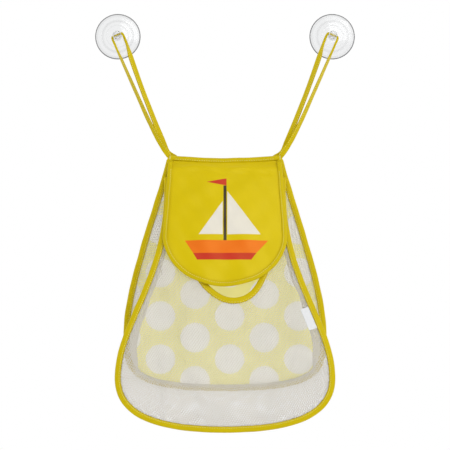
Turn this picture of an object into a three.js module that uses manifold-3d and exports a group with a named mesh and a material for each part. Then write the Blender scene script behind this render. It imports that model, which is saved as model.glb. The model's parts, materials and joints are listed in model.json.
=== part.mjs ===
// Bath toy organizer: a mesh bag with bound seams and a hanging flap, held on a wall by
// two strap loops and two clear suction cups. Sizes are millimetres, +Z is up and the
// front faces -Y. The origin lies on the wall, midway between the two suction cups.

import * as THREE from "three";
import { mergeVertices } from "three/addons/utils/BufferGeometryUtils.js";
import Module from "manifold-3d";

const wasm = await Module();
wasm.setup();

// Cloth, tape and the gap between pieces that touch
const SHEET = 0.8;
const TAPE = 0.8;
const BINDING_WIDTH = 8;
const CLEARANCE = 0.3;

// Suction cups: a dome with a flat lip, two raised rings, a neck and a head with a side hole
const CUP_SPACING = 283;
const CUP_RADIUS = 30;
const CUP_LIP = 2.5;
const CUP_RIM = 1.6;
const CUP_HOLLOW = 5;
const CUP_CROWN = 9;
const CUP_RING_RADIUS = 21;
const CUP_HUB_RADIUS = 14;
const CUP_RING_STEP = 0.5;
const NECK_RADIUS = 4.6;
const NECK_LENGTH = 1.5;
const HEAD_RADIUS = 5.6;
const HEAD_LENGTH = 13;
const HEAD_ROUND = 1.6;
const EYE_FLARE = 2.5;

// Strap loops: a flat tape, bunched where it passes through a cup's head
const STRAP_DROP = 157;
const STRAP_WIDTH = 8;
const STRAP_THICKNESS = 1.2;
const BUNCH_WIDTH = 4;
const BUNCH_THICKNESS = 2.2;
const LOOP_EASE = 0.9;
const STRAP_LAP = 7;
const TACK_WIDTH = 1.6;
const TACK_THICKNESS = 0.5;
const TACK_INSET = 2.4;

// Rear panel: drops are taken from the top edge, and its top corners lie beyond the top's ends
const REAR_DEPTH = 6;
const TOP_HALF_LENGTH = 70;
const TOP_SAG = 3.4;
const REAR_CORNER = 7.5;
const REAR_HIP_HALF = 134;
const REAR_HIP_DROP = 238;
const REAR_DROP = 310.5;

// Front panel and mouth
const FRONT_TOP_HALF = 80.5;
const FRONT_HIP_HALF = 140.5;
const FRONT_HIP_DROP = 286;
const FRONT_DROP = 355.6;
const FRONT_BULGE = 12;
const LEAN = THREE.MathUtils.degToRad(16.9);
const SHOULDER_WIDTH = 21;
const MOUTH_DROP = 185;
const MOUTH_SHIFT = 12;

// Flap: lengths are taken along it from its top seam
const FLAP_TOP_HALF = 75;
const FLAP_HALF = 81;
const FLAP_SIDE = 101;
const FLAP_LENGTH = 170;
const FLAP_DOME = 5;
const FLAP_FOLD = 3;
const FLAP_FOLD_PITCH = 54;

// Net: a coarse grid of openings between two seams. A rib lies along each seam and between two rows
// of openings, as a share of the net's width, and another at every second station, which gathers to
// it. A net has none at its first and last stations, and its ribs get as wide as its openings where
// these come down to the least one.
const FRONT_OPENINGS = 4;
const GUSSET_OPENINGS = 2;
const NET_RIB = 0.06;
const RIB_GATHER = 0.6;
const LEAST_OPENING = 6;
const PLAIN_STATIONS = 5;

// Side label
const LABEL_LENGTH = 30;
const LABEL_WIDTH = 11;
const LABEL_DROP = 207;
const LABEL_GAP = 0.6;

// Shape handles of the bell outlines: where the sides are drawn in, and how full the corners are
const REAR_WAIST = { half: 95, drop: 75, rise: 65, heel: 50, flat: 125 };
const FRONT_WAIST = { half: 72, drop: 153, rise: 73, heel: 47, flat: 95 };
const MOUTH_HANDLE = { side: 95, base: 38 };
const MOUTH_GATHER = 1.4;

// Stops of a strap loop from the corner's front, up its outer leg, through the cup's head and
// down its inner leg to the corner's back. Each has its share of the way down the strap's line,
// its place across that line in half widths of the loop, its share of the way from the head's
// depth to the corner's, how far the tape is turned to face the front, and how bunched it is.
// At both ends the tape is cut square with the top binding. HEAD_STOP is in half widths too.
const OUTER_STOPS = [
  { down: 0.94, across: -0.52, depth: 0.93, turn: 90, bunch: 0 },
  { down: 0.86, across: -0.88, depth: 0.8, turn: 90, bunch: 0 },
  { down: 0.68, across: -1, depth: 0.56, turn: 72, bunch: 0 },
  { down: 0.44, across: -1, depth: 0.38, turn: 42, bunch: 0 },
  { down: 0.2, across: -1, depth: 0.16, turn: 20, bunch: 0 },
  { down: 0.07, across: -1, depth: 0.03, turn: 6, bunch: 1 },
];
const INNER_STOPS = [
  { down: 0.07, across: 0.96, depth: 0.03, turn: 10, bunch: 1 },
  { down: 0.2, across: 0.62, depth: 0.2, turn: 38, bunch: 0 },
  { down: 0.44, across: 0.18, depth: 0.56, turn: 55, bunch: 0 },
  { down: 0.68, across: -0.12, depth: 0.86, turn: 80, bunch: 0 },
  { down: 0.86, across: -0.3, depth: 1, turn: 90, bunch: 0 },
];
const HEAD_STOP = 0.85;

// Facets
const STATIONS = 48;
const TOP_STATIONS = 12;
const END_STATIONS = 3;
const PANEL_ROWS = 4;
const ROUND_SEGMENTS = 32;
const CURVE_STEPS = 4;
const PROBE = 0.01;
const SEARCH_STEPS = 40;
const MERGE_TOLERANCE = 1e-4;

// Half the thickness of a binding round one sheet, and of its thicker side round two
const EDGE_HALF = SHEET / 2 + CLEARANCE + TAPE;
const EDGE_TWIN = EDGE_HALF + SHEET + CLEARANCE;
// Middle of a second sheet under the first one, how far in a cut edge lies in the fold,
// where a sheet leaves the binding, and how far behind the seam it is clear of it
const SECOND_SHEET = SHEET + CLEARANCE;
const EDGE_INSET = TAPE + CLEARANCE;
const SHEET_ROOT = BINDING_WIDTH + CLEARANCE + SHEET / 2;
const WEB_ROOT = EDGE_TWIN + CLEARANCE + SHEET / 2;

// Heights and depths that follow from the sizes above
const TOP_Z = -STRAP_DROP;
const SEAM_Z = TOP_Z - BINDING_WIDTH - CLEARANCE;
const EYE_DEPTH = CUP_CROWN + NECK_LENGTH + HEAD_LENGTH / 2;
const HINGE_DEPTH = REAR_DEPTH + EDGE_TWIN + CLEARANCE + EDGE_HALF;
const FRONT_DEPTH = HINGE_DEPTH - (2 * EDGE_HALF + CLEARANCE) / Math.cos(LEAN);
const FRONT_START = (REAR_DEPTH + 2 * WEB_ROOT + SHEET - FRONT_DEPTH) / Math.tan(LEAN);
const FRONT_Z = SEAM_Z - FRONT_START;
const FRONT_FALL = FRONT_DROP - BINDING_WIDTH - CLEARANCE;
const MOUTH_FALL = MOUTH_DROP - BINDING_WIDTH - CLEARANCE;
const MOUTH_TOP_HALF = FRONT_TOP_HALF - SHOULDER_WIDTH;
const REAR_TOP_HALF = TOP_HALF_LENGTH + REAR_CORNER;

const COLOURS = {
  binding: { color: 0xd4bc24, roughness: 0.75 },
  flap: { color: 0xdcc41e, roughness: 0.6 },
  net: { color: 0xf0ead6, roughness: 0.85 },
  rear: { color: 0xeee3a0, roughness: 0.6 },
  clear: { color: 0xe8ecee, roughness: 0.1 },
  label: { color: 0xf7f7f5, roughness: 0.8 },
};

const organizer = new THREE.Group();

function addPiece(name, geometry, finish, parent = organizer) {
  const material = new THREE.MeshStandardMaterial({ ...COLOURS[finish], metalness: 0 });
  const mesh = new THREE.Mesh(geometry, material);
  mesh.name = name;
  parent.add(mesh);
  return mesh;
}

// A closed body from its points and triangles, turned so that its faces point out.
function closedGeometry(points, triangles) {
  let volume = 0;
  for (const [a, b, c] of triangles) {
    volume += points[a].dot(points[b].clone().cross(points[c]));
  }
  const facing = volume < 0 ? triangles.map(([a, b, c]) => [a, c, b]) : triangles;
  const geometry = new THREE.BufferGeometry().setFromPoints(points);
  geometry.setIndex(facing.flat());
  geometry.computeVertexNormals();
  return geometry;
}

// A solid through equal rings of points, closed at both ends. The section runs anticlockwise.
function loftSolid(rings, section) {
  const count = section.length;
  const triangles = [];
  for (let ring = 0; ring + 1 < rings.length; ring += 1) {
    for (let corner = 0; corner < count; corner += 1) {
      const next = (corner + 1) % count;
      const [a, b] = [ring * count + corner, ring * count + next];
      triangles.push([a, b, b + count], [a, b + count, a + count]);
    }
  }
  const far = (rings.length - 1) * count;
  for (const [a, b, c] of THREE.ShapeUtils.triangulateShape(section, [])) {
    triangles.push([a, c, b], [far + a, far + b, far + c]);
  }
  return closedGeometry(rings.flat(), triangles);
}

// A sheet of even thickness about a grid of points on its middle surface, without its open cells.
function sheetSolid(rows, isOpen = () => false) {
  const [height, width] = [rows.length, rows[0].length];
  const normalAt = (i, j) => {
    const along = rows[i][Math.min(j + 1, width - 1)].clone().sub(rows[i][Math.max(j - 1, 0)]);
    const across = rows[Math.min(i + 1, height - 1)][j].clone().sub(rows[Math.max(i - 1, 0)][j]);
    return along.cross(across).normalize();
  };
  const face = (offset) => rows.flatMap((row, i) =>
    row.map((point, j) => point.clone().addScaledVector(normalAt(i, j), offset)));
  const points = [...face(SHEET / 2), ...face(-SHEET / 2)];
  const back = height * width;
  const at = (i, j) => i * width + j;
  const triangles = [];
  const quad = (a, b, c, d) => triangles.push([a, b, c], [a, c, d]);
  const wall = (a, b) => quad(b, a, back + a, back + b);
  for (let i = 0; i + 1 < height; i += 1) {
    for (let j = 0; j + 1 < width; j += 1) {
      const [a, b, c, d] = [at(i, j), at(i, j + 1), at(i + 1, j + 1), at(i + 1, j)];
      if (isOpen(i, j)) {
        for (const [from, to] of [[b, a], [c, b], [d, c], [a, d]]) wall(from, to);
      } else {
        quad(a, b, c, d);
        triangles.push([back + a, back + c, back + b], [back + a, back + d, back + c]);
      }
    }
  }
  for (let j = 0; j + 1 < width; j += 1) {
    wall(at(0, j), at(0, j + 1));
    wall(at(height - 1, j + 1), at(height - 1, j));
  }
  for (let i = 0; i + 1 < height; i += 1) {
    wall(at(i + 1, 0), at(i, 0));
    wall(at(i, width - 1), at(i + 1, width - 1));
  }
  return closedGeometry(points, triangles);
}

// A cloth surface is a depth in front of its plane over every (x, z).
function clothSurface(depth) {
  const point = (x, z) => new THREE.Vector3(x, -depth(x, z), z);
  const normal = (x, z) => {
    const across = (depth(x + PROBE, z) - depth(x - PROBE, z)) / (2 * PROBE);
    const upward = (depth(x, z + PROBE) - depth(x, z - PROBE)) / (2 * PROBE);
    return new THREE.Vector3(-across, -1, -upward).normalize();
  };
  return { point, normal };
}

// Frames along a cloth's edge: its place, the way out of the cloth, and the cloth's front.
// The edge runs from the top left round the base; side is 1 where the cloth lies inside it.
function edgeFrames(surface, path, fractions, side) {
  return fractions.map((fraction) => {
    const at = path.getPointAt(fraction);
    const along = path.getTangentAt(fraction);
    const place = surface.point(at.x, at.y);
    const front = surface.normal(at.x, at.y);
    const ahead = surface.point(at.x + along.x * PROBE, at.y + along.y * PROBE).sub(place);
    return { place, front, out: ahead.cross(front).normalize().multiplyScalar(side) };
  });
}

function spread(from, to, steps) {
  return Array.from({ length: steps + 1 }, (_, i) => THREE.MathUtils.lerp(from, to, i / steps));
}

// A point of a seam's section: so far in from the fold, and so far in front of the sheet.
function seamPoint({ place, out, front }, inward, forward) {
  return place.clone().addScaledVector(out, -inward).addScaledVector(front, forward);
}

// A tape folded round the edge, with room for the sheets between its two sides.
function bindingSolid(frames, frontSide, rearSide) {
  const [front, rear] = [frontSide, -rearSide];
  const section = [
    new THREE.Vector2(0, rear),
    new THREE.Vector2(BINDING_WIDTH, rear),
    new THREE.Vector2(BINDING_WIDTH, rear + TAPE),
    new THREE.Vector2(TAPE, rear + TAPE),
    new THREE.Vector2(TAPE, front - TAPE),
    new THREE.Vector2(BINDING_WIDTH, front - TAPE),
    new THREE.Vector2(BINDING_WIDTH, front),
    new THREE.Vector2(0, front),
  ];
  const rings = frames.map((frame) => section.map(({ x, y }) => seamPoint(frame, x, y)));
  return loftSolid(rings, section);
}

// Rows of a panel between a bound edge and a line of inner points on the same surface.
function panelRows(surface, frames, inner) {
  const edge = frames.map((frame) => seamPoint(frame, EDGE_INSET, 0));
  const root = frames.map((frame) => seamPoint(frame, SHEET_ROOT, 0));
  const between = spread(0, 1, PANEL_ROWS).slice(1).map((share) => root.map((point, i) =>
    surface.point(
      THREE.MathUtils.lerp(point.x, inner[i].x, share),
      THREE.MathUtils.lerp(point.z, inner[i].z, share))));
  return [edge, root, ...between];
}

// Shares across a net, from seam to seam: a rib, then openings with a rib after each.
function netShares(openings) {
  const pitch = (1 - NET_RIB) / openings;
  const inner = spread(0, 1 - NET_RIB, openings).slice(0, -1)
    .flatMap((start) => [start + NET_RIB, start + pitch]);
  return [0, ...inner, 1];
}

// A net between two seams, given the rows up to each. Where it is narrow it is plain, with even rows.
// Where it is wide, its rows keep narrow ribs between the openings, and its odd stations gather to
// the ones before them, so that there too a rib is narrower than an opening.
function netSolid(before, after, openings, pointAt) {
  const shares = netShares(openings);
  const even = spread(0, 1, shares.length - 1);
  const least = openings * LEAST_OPENING;
  const room = before.at(-1).map((point, j) =>
    THREE.MathUtils.smoothstep(point.distanceTo(after[0][j]), least, 3 * least));
  const place = (row, j) => pointAt(THREE.MathUtils.lerp(even[row], shares[row], room[j]), j);
  const netRow = (row) => room.map((wide, j) =>
    (j % 2 === 0 ? place(row, j) : place(row, j).lerp(place(row, j - 1), RIB_GATHER * wide ** 2)));
  const rows = [...before, ...shares.slice(1, -1).map((_, i) => netRow(i + 1)), ...after];
  const last = room.length - 1 - PLAIN_STATIONS;
  const isOpen = (i, j) => {
    const row = i - before.length;
    const inRow = row >= 0 && row < 2 * openings && row % 2 === 0;
    return inRow && j % 2 === 1 && j >= PLAIN_STATIONS && j <= last;
  };
  return sheetSolid(rows, isOpen);
}

// A bell outline in (x, z), from the top left round the base to the top right.
function bellOutline(topHalf, topZ, hipHalf, hipDrop, drop, shape) {
  const hipZ = TOP_Z - hipDrop;
  const baseZ = TOP_Z - drop;
  const waistZ = TOP_Z - shape.drop;
  const path = new THREE.Path();
  path.moveTo(-topHalf, topZ);
  path.bezierCurveTo(-shape.half, waistZ, -hipHalf, hipZ + shape.rise, -hipHalf, hipZ);
  path.bezierCurveTo(-hipHalf, hipZ - shape.heel, -shape.flat, baseZ, 0, baseZ);
  path.bezierCurveTo(shape.flat, baseZ, hipHalf, hipZ - shape.heel, hipHalf, hipZ);
  path.bezierCurveTo(hipHalf, hipZ + shape.rise, shape.half, waistZ, topHalf, topZ);
  return path;
}

// Where along a path its height is reached first (search from 0) or last (search from 1).
function fractionAtHeight(path, height, from) {
  let [near, far] = [from, 0.5];
  for (let step = 0; step < SEARCH_STEPS; step += 1) {
    const middle = (near + far) / 2;
    if (path.getPointAt(middle).y > height) near = middle;
    else far = middle;
  }
  return (near + far) / 2;
}

function toManifold(geometry) {
  const bare = geometry.clone();
  bare.deleteAttribute("normal");
  bare.deleteAttribute("uv");
  const merged = mergeVertices(bare, MERGE_TOLERANCE);
  const mesh = new wasm.Mesh({
    numProp: 3,
    vertProperties: new Float32Array(merged.attributes.position.array),
    triVerts: new Uint32Array(merged.index.array),
  });
  return new wasm.Manifold(mesh);
}

function fromManifold(solid) {
  const { vertProperties, triVerts } = solid.getMesh();
  const geometry = new THREE.BufferGeometry();
  geometry.setAttribute("position", new THREE.BufferAttribute(vertProperties, 3));
  geometry.setIndex(new THREE.BufferAttribute(triVerts, 1));
  geometry.computeVertexNormals();
  return geometry;
}

// Suction cup, built on its own axis with the wall at height 0
function cupGeometry() {
  const lipInner = CUP_RADIUS - CUP_LIP;
  const rimChamfer = CUP_RIM / 4;
  const hollow = new THREE.QuadraticBezierCurve(
    new THREE.Vector2(0, CUP_HOLLOW),
    new THREE.Vector2(CUP_HUB_RADIUS, CUP_HOLLOW),
    new THREE.Vector2(lipInner, 0));
  const domeAt = (radius) => CUP_RIM + (CUP_CROWN - CUP_RIM) * (1 - (radius / CUP_RADIUS) ** 2);
  const ringHeight = domeAt(CUP_RING_RADIUS);
  const hubHeight = domeAt(CUP_HUB_RADIUS);
  const headTop = CUP_CROWN + NECK_LENGTH + HEAD_LENGTH;
  const headBase = CUP_CROWN + NECK_LENGTH;
  const crown = (turn) => new THREE.Vector2(
    HEAD_RADIUS - HEAD_ROUND * (1 - Math.cos(turn)),
    headTop - HEAD_ROUND * (1 - Math.sin(turn)));
  const profile = [
    ...hollow.getPoints(CURVE_STEPS),
    new THREE.Vector2(CUP_RADIUS - rimChamfer, 0),
    new THREE.Vector2(CUP_RADIUS, CUP_RIM / 2),
    new THREE.Vector2(CUP_RADIUS - rimChamfer, CUP_RIM),
    new THREE.Vector2(CUP_RING_RADIUS + CUP_RING_STEP, ringHeight),
    new THREE.Vector2(CUP_RING_RADIUS, ringHeight + CUP_RING_STEP),
    new THREE.Vector2(CUP_HUB_RADIUS + CUP_RING_STEP, hubHeight + CUP_RING_STEP),
    new THREE.Vector2(CUP_HUB_RADIUS, hubHeight + 2 * CUP_RING_STEP),
    new THREE.Vector2(NECK_RADIUS + CUP_RING_STEP, CUP_CROWN),
    new THREE.Vector2(NECK_RADIUS, CUP_CROWN + CUP_RING_STEP),
    new THREE.Vector2(NECK_RADIUS, headBase),
    new THREE.Vector2(HEAD_RADIUS, headBase + HEAD_RADIUS - NECK_RADIUS),
    ...spread(0, Math.PI / 2, CURVE_STEPS - 1).map(crown),
    new THREE.Vector2(0, headTop),
  ];
  const body = new THREE.LatheGeometry(profile, ROUND_SEGMENTS);
  body.rotateX(Math.PI);
  const eye = new THREE.LatheGeometry(eyeProfile(), ROUND_SEGMENTS / 2);
  eye.rotateZ(Math.PI / 2);
  eye.translate(0, -EYE_DEPTH, 0);
  return fromManifold(toManifold(body).subtract(toManifold(eye)));
}

// The side hole is narrowest at its middle, with room there for the bunched tape to turn.
function eyeProfile() {
  const throat = Math.hypot(BUNCH_WIDTH, BUNCH_THICKNESS) / 2 + CLEARANCE;
  const reach = HEAD_RADIUS + EYE_FLARE;
  const wall = spread(-reach, reach, CURVE_STEPS).map((along) =>
    new THREE.Vector2(throat + EYE_FLARE * (along / HEAD_RADIUS) ** 2, along));
  return [new THREE.Vector2(0, -reach), ...wall, new THREE.Vector2(0, reach)];
}

// The strap's line from the middle of a cup to the end of the top binding, and the way across it
const cupPlace = new THREE.Vector2(-CUP_SPACING / 2, 0);
const cornerPlace = new THREE.Vector2(-TOP_HALF_LENGTH - CLEARANCE, TOP_Z - BINDING_WIDTH / 2);
const strapLine = cornerPlace.clone().sub(cupPlace);
const strapLength = strapLine.length();
strapLine.normalize();
const strapAcross = new THREE.Vector2(-strapLine.y, strapLine.x);
const strapTilt = Math.atan2(strapAcross.y, strapAcross.x);

function strapRoute() {
  const loopHalf = HEAD_RADIUS + LOOP_EASE + BUNCH_THICKNESS / 2;
  const backDepth = REAR_DEPTH - EDGE_HALF - CLEARANCE - STRAP_THICKNESS / 2;
  const stop = (endDepth) => ({ down, across, depth, turn, bunch }) => {
    const flat = cupPlace.clone()
      .addScaledVector(strapLine, down * strapLength)
      .addScaledVector(strapAcross, across * loopHalf);
    const y = -THREE.MathUtils.lerp(EYE_DEPTH, endDepth, depth);
    return { place: new THREE.Vector3(flat.x, y, flat.y), turn, bunch, square: 0 };
  };
  const inHead = (across) => stop(REAR_DEPTH)({ down: 0, across, depth: 0, turn: 0, bunch: 1 });
  const atCorner = (lap, depth) => ({
    place: new THREE.Vector3(cornerPlace.x + lap, -depth, cornerPlace.y),
    turn: 90,
    bunch: 0,
    square: 1,
  });
  return [
    atCorner(0, REAR_DEPTH),
    ...OUTER_STOPS.map(stop(REAR_DEPTH)),
    inHead(-HEAD_STOP),
    inHead(0),
    inHead(HEAD_STOP),
    ...INNER_STOPS.map(stop(backDepth)),
    atCorner(STRAP_LAP, backDepth),
  ];
}

// A loop of tape through its stops; side is -1 for the left loop and 1 for the right one.
function strapGeometry(side) {
  const route = strapRoute();
  const curve = new THREE.CatmullRomCurve3(route.map(({ place }) => place));
  const spans = route.length - 1;
  const depthwise = new THREE.Vector3(0, 1, 0);
  const upright = new THREE.Vector3(0, 0, 1);
  const section = [[-1, -1], [1, -1], [1, 1], [-1, 1]].map(([x, y]) => new THREE.Vector2(x, y));
  const rings = spread(0, 1, spans * CURVE_STEPS).map((t) => {
    const from = Math.min(Math.floor(t * spans), spans - 1);
    const share = THREE.MathUtils.smoothstep(t * spans - from, 0, 1);
    const mix = (key) => THREE.MathUtils.lerp(route[from][key], route[from + 1][key], share);
    const along = curve.getTangent(t);
    const flatwise = along.clone().cross(depthwise).normalize();
    flatwise.multiplyScalar(Math.sign(flatwise.z)).lerp(upright, mix("square")).normalize();
    const turn = THREE.MathUtils.degToRad(mix("turn"));
    const wide = depthwise.clone().multiplyScalar(Math.cos(turn))
      .addScaledVector(flatwise, Math.sin(turn)).normalize();
    const thick = along.clone().cross(wide).normalize();
    const halfWidth = THREE.MathUtils.lerp(STRAP_WIDTH, BUNCH_WIDTH, mix("bunch")) / 2;
    const halfThickness = THREE.MathUtils.lerp(STRAP_THICKNESS, BUNCH_THICKNESS, mix("bunch")) / 2;
    return section.map(({ x, y }) => {
      const corner = curve.getPoint(t)
        .addScaledVector(wide, x * halfWidth)
        .addScaledVector(thick, y * halfThickness);
      corner.x *= -side;
      return corner;
    });
  });
  return loftSolid(rings, section);
}

const cupShape = cupGeometry();
for (const [name, side] of [["left", -1], ["right", 1]]) {
  const cup = addPiece(`${name}_suction_cup`, cupShape, "clear");
  cup.position.x = side * CUP_SPACING / 2;
  cup.rotation.y = side * strapTilt;

  addPiece(`${name}_strap_loop`, strapGeometry(side), "binding");

  const tackHeight = STRAP_WIDTH - TACK_WIDTH;
  const tack = addPiece(
    `${name}_bar_tack`,
    new THREE.BoxGeometry(TACK_WIDTH, TACK_THICKNESS, tackHeight),
    "binding");
  tack.position.set(
    side * (TOP_HALF_LENGTH + TACK_INSET),
    -REAR_DEPTH - (STRAP_THICKNESS + TACK_THICKNESS) / 2 - 2 * CLEARANCE,
    TOP_Z - BINDING_WIDTH / 2);
}

// Rear panel, its bindings and the top edge
const rearSurface = clothSurface(() => REAR_DEPTH);
const rearPath = bellOutline(
  REAR_TOP_HALF, SEAM_Z, REAR_HIP_HALF, REAR_HIP_DROP, REAR_DROP, REAR_WAIST);
const gussetStart = fractionAtHeight(rearPath, FRONT_Z, 0);
const gussetFractions = spread(gussetStart, 1 - gussetStart, STATIONS);
const rearFractions = [
  ...spread(0, gussetStart, END_STATIONS).slice(0, -1),
  ...gussetFractions,
  ...spread(1 - gussetStart, 1, END_STATIONS).slice(1),
];
const rearFrames = edgeFrames(rearSurface, rearPath, rearFractions, 1);

const topPath = new THREE.Path();
topPath.moveTo(-TOP_HALF_LENGTH, TOP_Z);
topPath.quadraticCurveTo(0, TOP_Z - 2 * TOP_SAG, TOP_HALF_LENGTH, TOP_Z);
const topFrames = edgeFrames(rearSurface, topPath, spread(0, 1, TOP_STATIONS), -1);
addPiece("top_binding", bindingSolid(topFrames, EDGE_HALF, EDGE_HALF), "binding");

const topCorner = SHEET_ROOT / (2 * TOP_HALF_LENGTH);
const topFractions = spread(topCorner, 1 - topCorner, rearFrames.length - 1);
const topEdge = edgeFrames(rearSurface, topPath, topFractions, -1)
  .map((frame) => seamPoint(frame, EDGE_INSET, 0));
addPiece("rear_panel", sheetSolid(panelRows(rearSurface, rearFrames, topEdge)), "rear");
addPiece("rear_binding", bindingSolid(rearFrames, EDGE_TWIN, EDGE_HALF), "binding");

// Front panel: a leaning plane down to the mouth's base, then a rounded belly over a flat foot
const belly = FRONT_FALL - MOUTH_FALL;
const frontSurface = clothSurface((x, z) => {
  const fall = SEAM_Z - z;
  const below = Math.max(0, fall - MOUTH_FALL);
  const lean = Math.tan(LEAN) * (fall - below ** 2 / (2 * belly));
  const swell = Math.sin(Math.PI * Math.min(below / belly, 1)) ** 2;
  return FRONT_DEPTH + lean + FRONT_BULGE * swell * (1 - (x / FRONT_HIP_HALF) ** 2);
});
const frontPath = bellOutline(
  FRONT_TOP_HALF, FRONT_Z, FRONT_HIP_HALF, FRONT_HIP_DROP, FRONT_DROP, FRONT_WAIST);
const seamFractions = spread(0, 1, STATIONS);
const frontFrames = edgeFrames(frontSurface, frontPath, seamFractions, 1);

const mouthZ = TOP_Z - MOUTH_DROP;
const mouthSideZ = FRONT_Z - MOUTH_HANDLE.side;
const mouthPath = new THREE.Path();
mouthPath.moveTo(-MOUTH_TOP_HALF, FRONT_Z);
mouthPath.bezierCurveTo(
  -MOUTH_TOP_HALF, mouthSideZ, MOUTH_SHIFT - MOUTH_HANDLE.base, mouthZ, MOUTH_SHIFT, mouthZ);
mouthPath.bezierCurveTo(
  MOUTH_SHIFT + MOUTH_HANDLE.base, mouthZ, MOUTH_TOP_HALF, mouthSideZ, MOUTH_TOP_HALF, FRONT_Z);
// The mouth's stations gather at its base, so that each faces its own stretch of the outline.
const mouthFractions = seamFractions.map((fraction) => {
  const side = 2 * fraction - 1;
  return (1 + Math.sign(side) * Math.abs(side) ** MOUTH_GATHER) / 2;
});
const mouthFrames = edgeFrames(frontSurface, mouthPath, mouthFractions, -1);

const [frontRim, frontEdge] = [EDGE_INSET, SHEET_ROOT].map((inward) =>
  frontFrames.map((frame) => seamPoint(frame, inward, 0)));
const [mouthRim, mouthEdge] = [EDGE_INSET, SHEET_ROOT].map((inward) =>
  mouthFrames.map((frame) => seamPoint(frame, inward, 0)));
const frontPoint = (share, i) => {
  const { x, z } = frontEdge[i].clone().lerp(mouthEdge[i], share);
  return frontSurface.point(x, z);
};
addPiece(
  "front_panel",
  netSolid([frontRim, frontEdge], [mouthEdge, mouthRim], FRONT_OPENINGS, frontPoint),
  "net");
addPiece("front_binding", bindingSolid(frontFrames, EDGE_HALF, EDGE_TWIN), "binding");
addPiece("mouth_binding", bindingSolid(mouthFrames, EDGE_HALF, EDGE_HALF), "binding");

// Gusset: a strip from the front seam round to the rear seam, sewn into both bindings
const gussetRear = edgeFrames(rearSurface, rearPath, gussetFractions, 1);
const frontRoot = frontFrames.map((frame) => seamPoint(frame, SHEET_ROOT, -WEB_ROOT));
const rearRoot = gussetRear.map((frame) => seamPoint(frame, SHEET_ROOT, WEB_ROOT));
const webPoint = (share, i) => frontRoot[i].clone().lerp(rearRoot[i], share);
const frontHem = [EDGE_INSET, SHEET_ROOT].map((inward) =>
  frontFrames.map((frame) => seamPoint(frame, inward, -SECOND_SHEET)));
const rearHem = [SHEET_ROOT, EDGE_INSET].map((inward) =>
  gussetRear.map((frame) => seamPoint(frame, inward, SECOND_SHEET)));
addPiece(
  "gusset",
  netSolid([...frontHem, frontRoot], [rearRoot, ...rearHem], GUSSET_OPENINGS, webPoint),
  "net");

// Flap: hung from the top seam, domed, with soft folds that deepen towards its lower edge
const flap = new THREE.Group();
flap.position.set(0, -HINGE_DEPTH, SEAM_Z);
flap.rotation.x = -LEAN;
organizer.add(flap);
const flapSurface = clothSurface((x, z) => {
  const share = THREE.MathUtils.clamp(-z / FLAP_LENGTH, 0, 1);
  const dome = FLAP_DOME * Math.sin(Math.PI * share) * Math.max(0, 1 - (x / FLAP_HALF) ** 2);
  const fold = FLAP_FOLD * share ** 2 * (1 - Math.cos(2 * Math.PI * x / FLAP_FOLD_PITCH)) / 2;
  return dome + fold;
});
const flapPath = new THREE.Path();
flapPath.moveTo(-FLAP_TOP_HALF, 0);
flapPath.lineTo(-FLAP_HALF, -FLAP_SIDE);
flapPath.absellipse(0, -FLAP_SIDE, FLAP_HALF, FLAP_LENGTH - FLAP_SIDE, Math.PI, 2 * Math.PI);
flapPath.lineTo(FLAP_TOP_HALF, 0);
const flapFrames = edgeFrames(flapSurface, flapPath, seamFractions, 1);
const flapTopHalf = FLAP_TOP_HALF - 2 * SHEET_ROOT;
const flapTop = spread(-flapTopHalf, flapTopHalf, STATIONS).map((x) => {
  const sag = TOP_SAG * (1 - (x / TOP_HALF_LENGTH) ** 2);
  return flapSurface.point(x, -sag / Math.cos(LEAN));
});
addPiece("flap", sheetSolid(panelRows(flapSurface, flapFrames, flapTop)), "flap", flap);
addPiece("flap_binding", bindingSolid(flapFrames, EDGE_HALF, EDGE_HALF), "binding", flap);

// Label: sewn in at the right front seam, lying on the panel beside the binding
const labelFraction = fractionAtHeight(frontPath, TOP_Z - LABEL_DROP, 1);
const [labelFrame] = edgeFrames(frontSurface, frontPath, [labelFraction], 1);
const label = addPiece("side_label", new THREE.BoxGeometry(LABEL_WIDTH, SHEET, LABEL_LENGTH), "label");
const labelAlong = labelFrame.front.clone().cross(labelFrame.out);
label.quaternion.setFromRotationMatrix(new THREE.Matrix4().makeBasis(
  labelFrame.out, labelFrame.front.clone().negate(), labelAlong));
label.position.copy(seamPoint(
  labelFrame, BINDING_WIDTH + LABEL_GAP + LABEL_WIDTH / 2, SHEET + LABEL_GAP));

export default organizer;
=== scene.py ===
"""Looks of a bath toy organizer: net panels, bound seams, a printed flap, strap loops and clear cups.

Shapes are worked out in millimetres and become metres in the finished meshes. +Z is up, and the
front faces -Y. The origin lies on the wall, midway between the two suction cups.
"""

import json
import logging
import math
from dataclasses import dataclass, field
from enum import Enum
from typing import Any, Callable, Sequence

import bpy
import numpy as np
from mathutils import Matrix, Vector
from numpy.typing import NDArray


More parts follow.
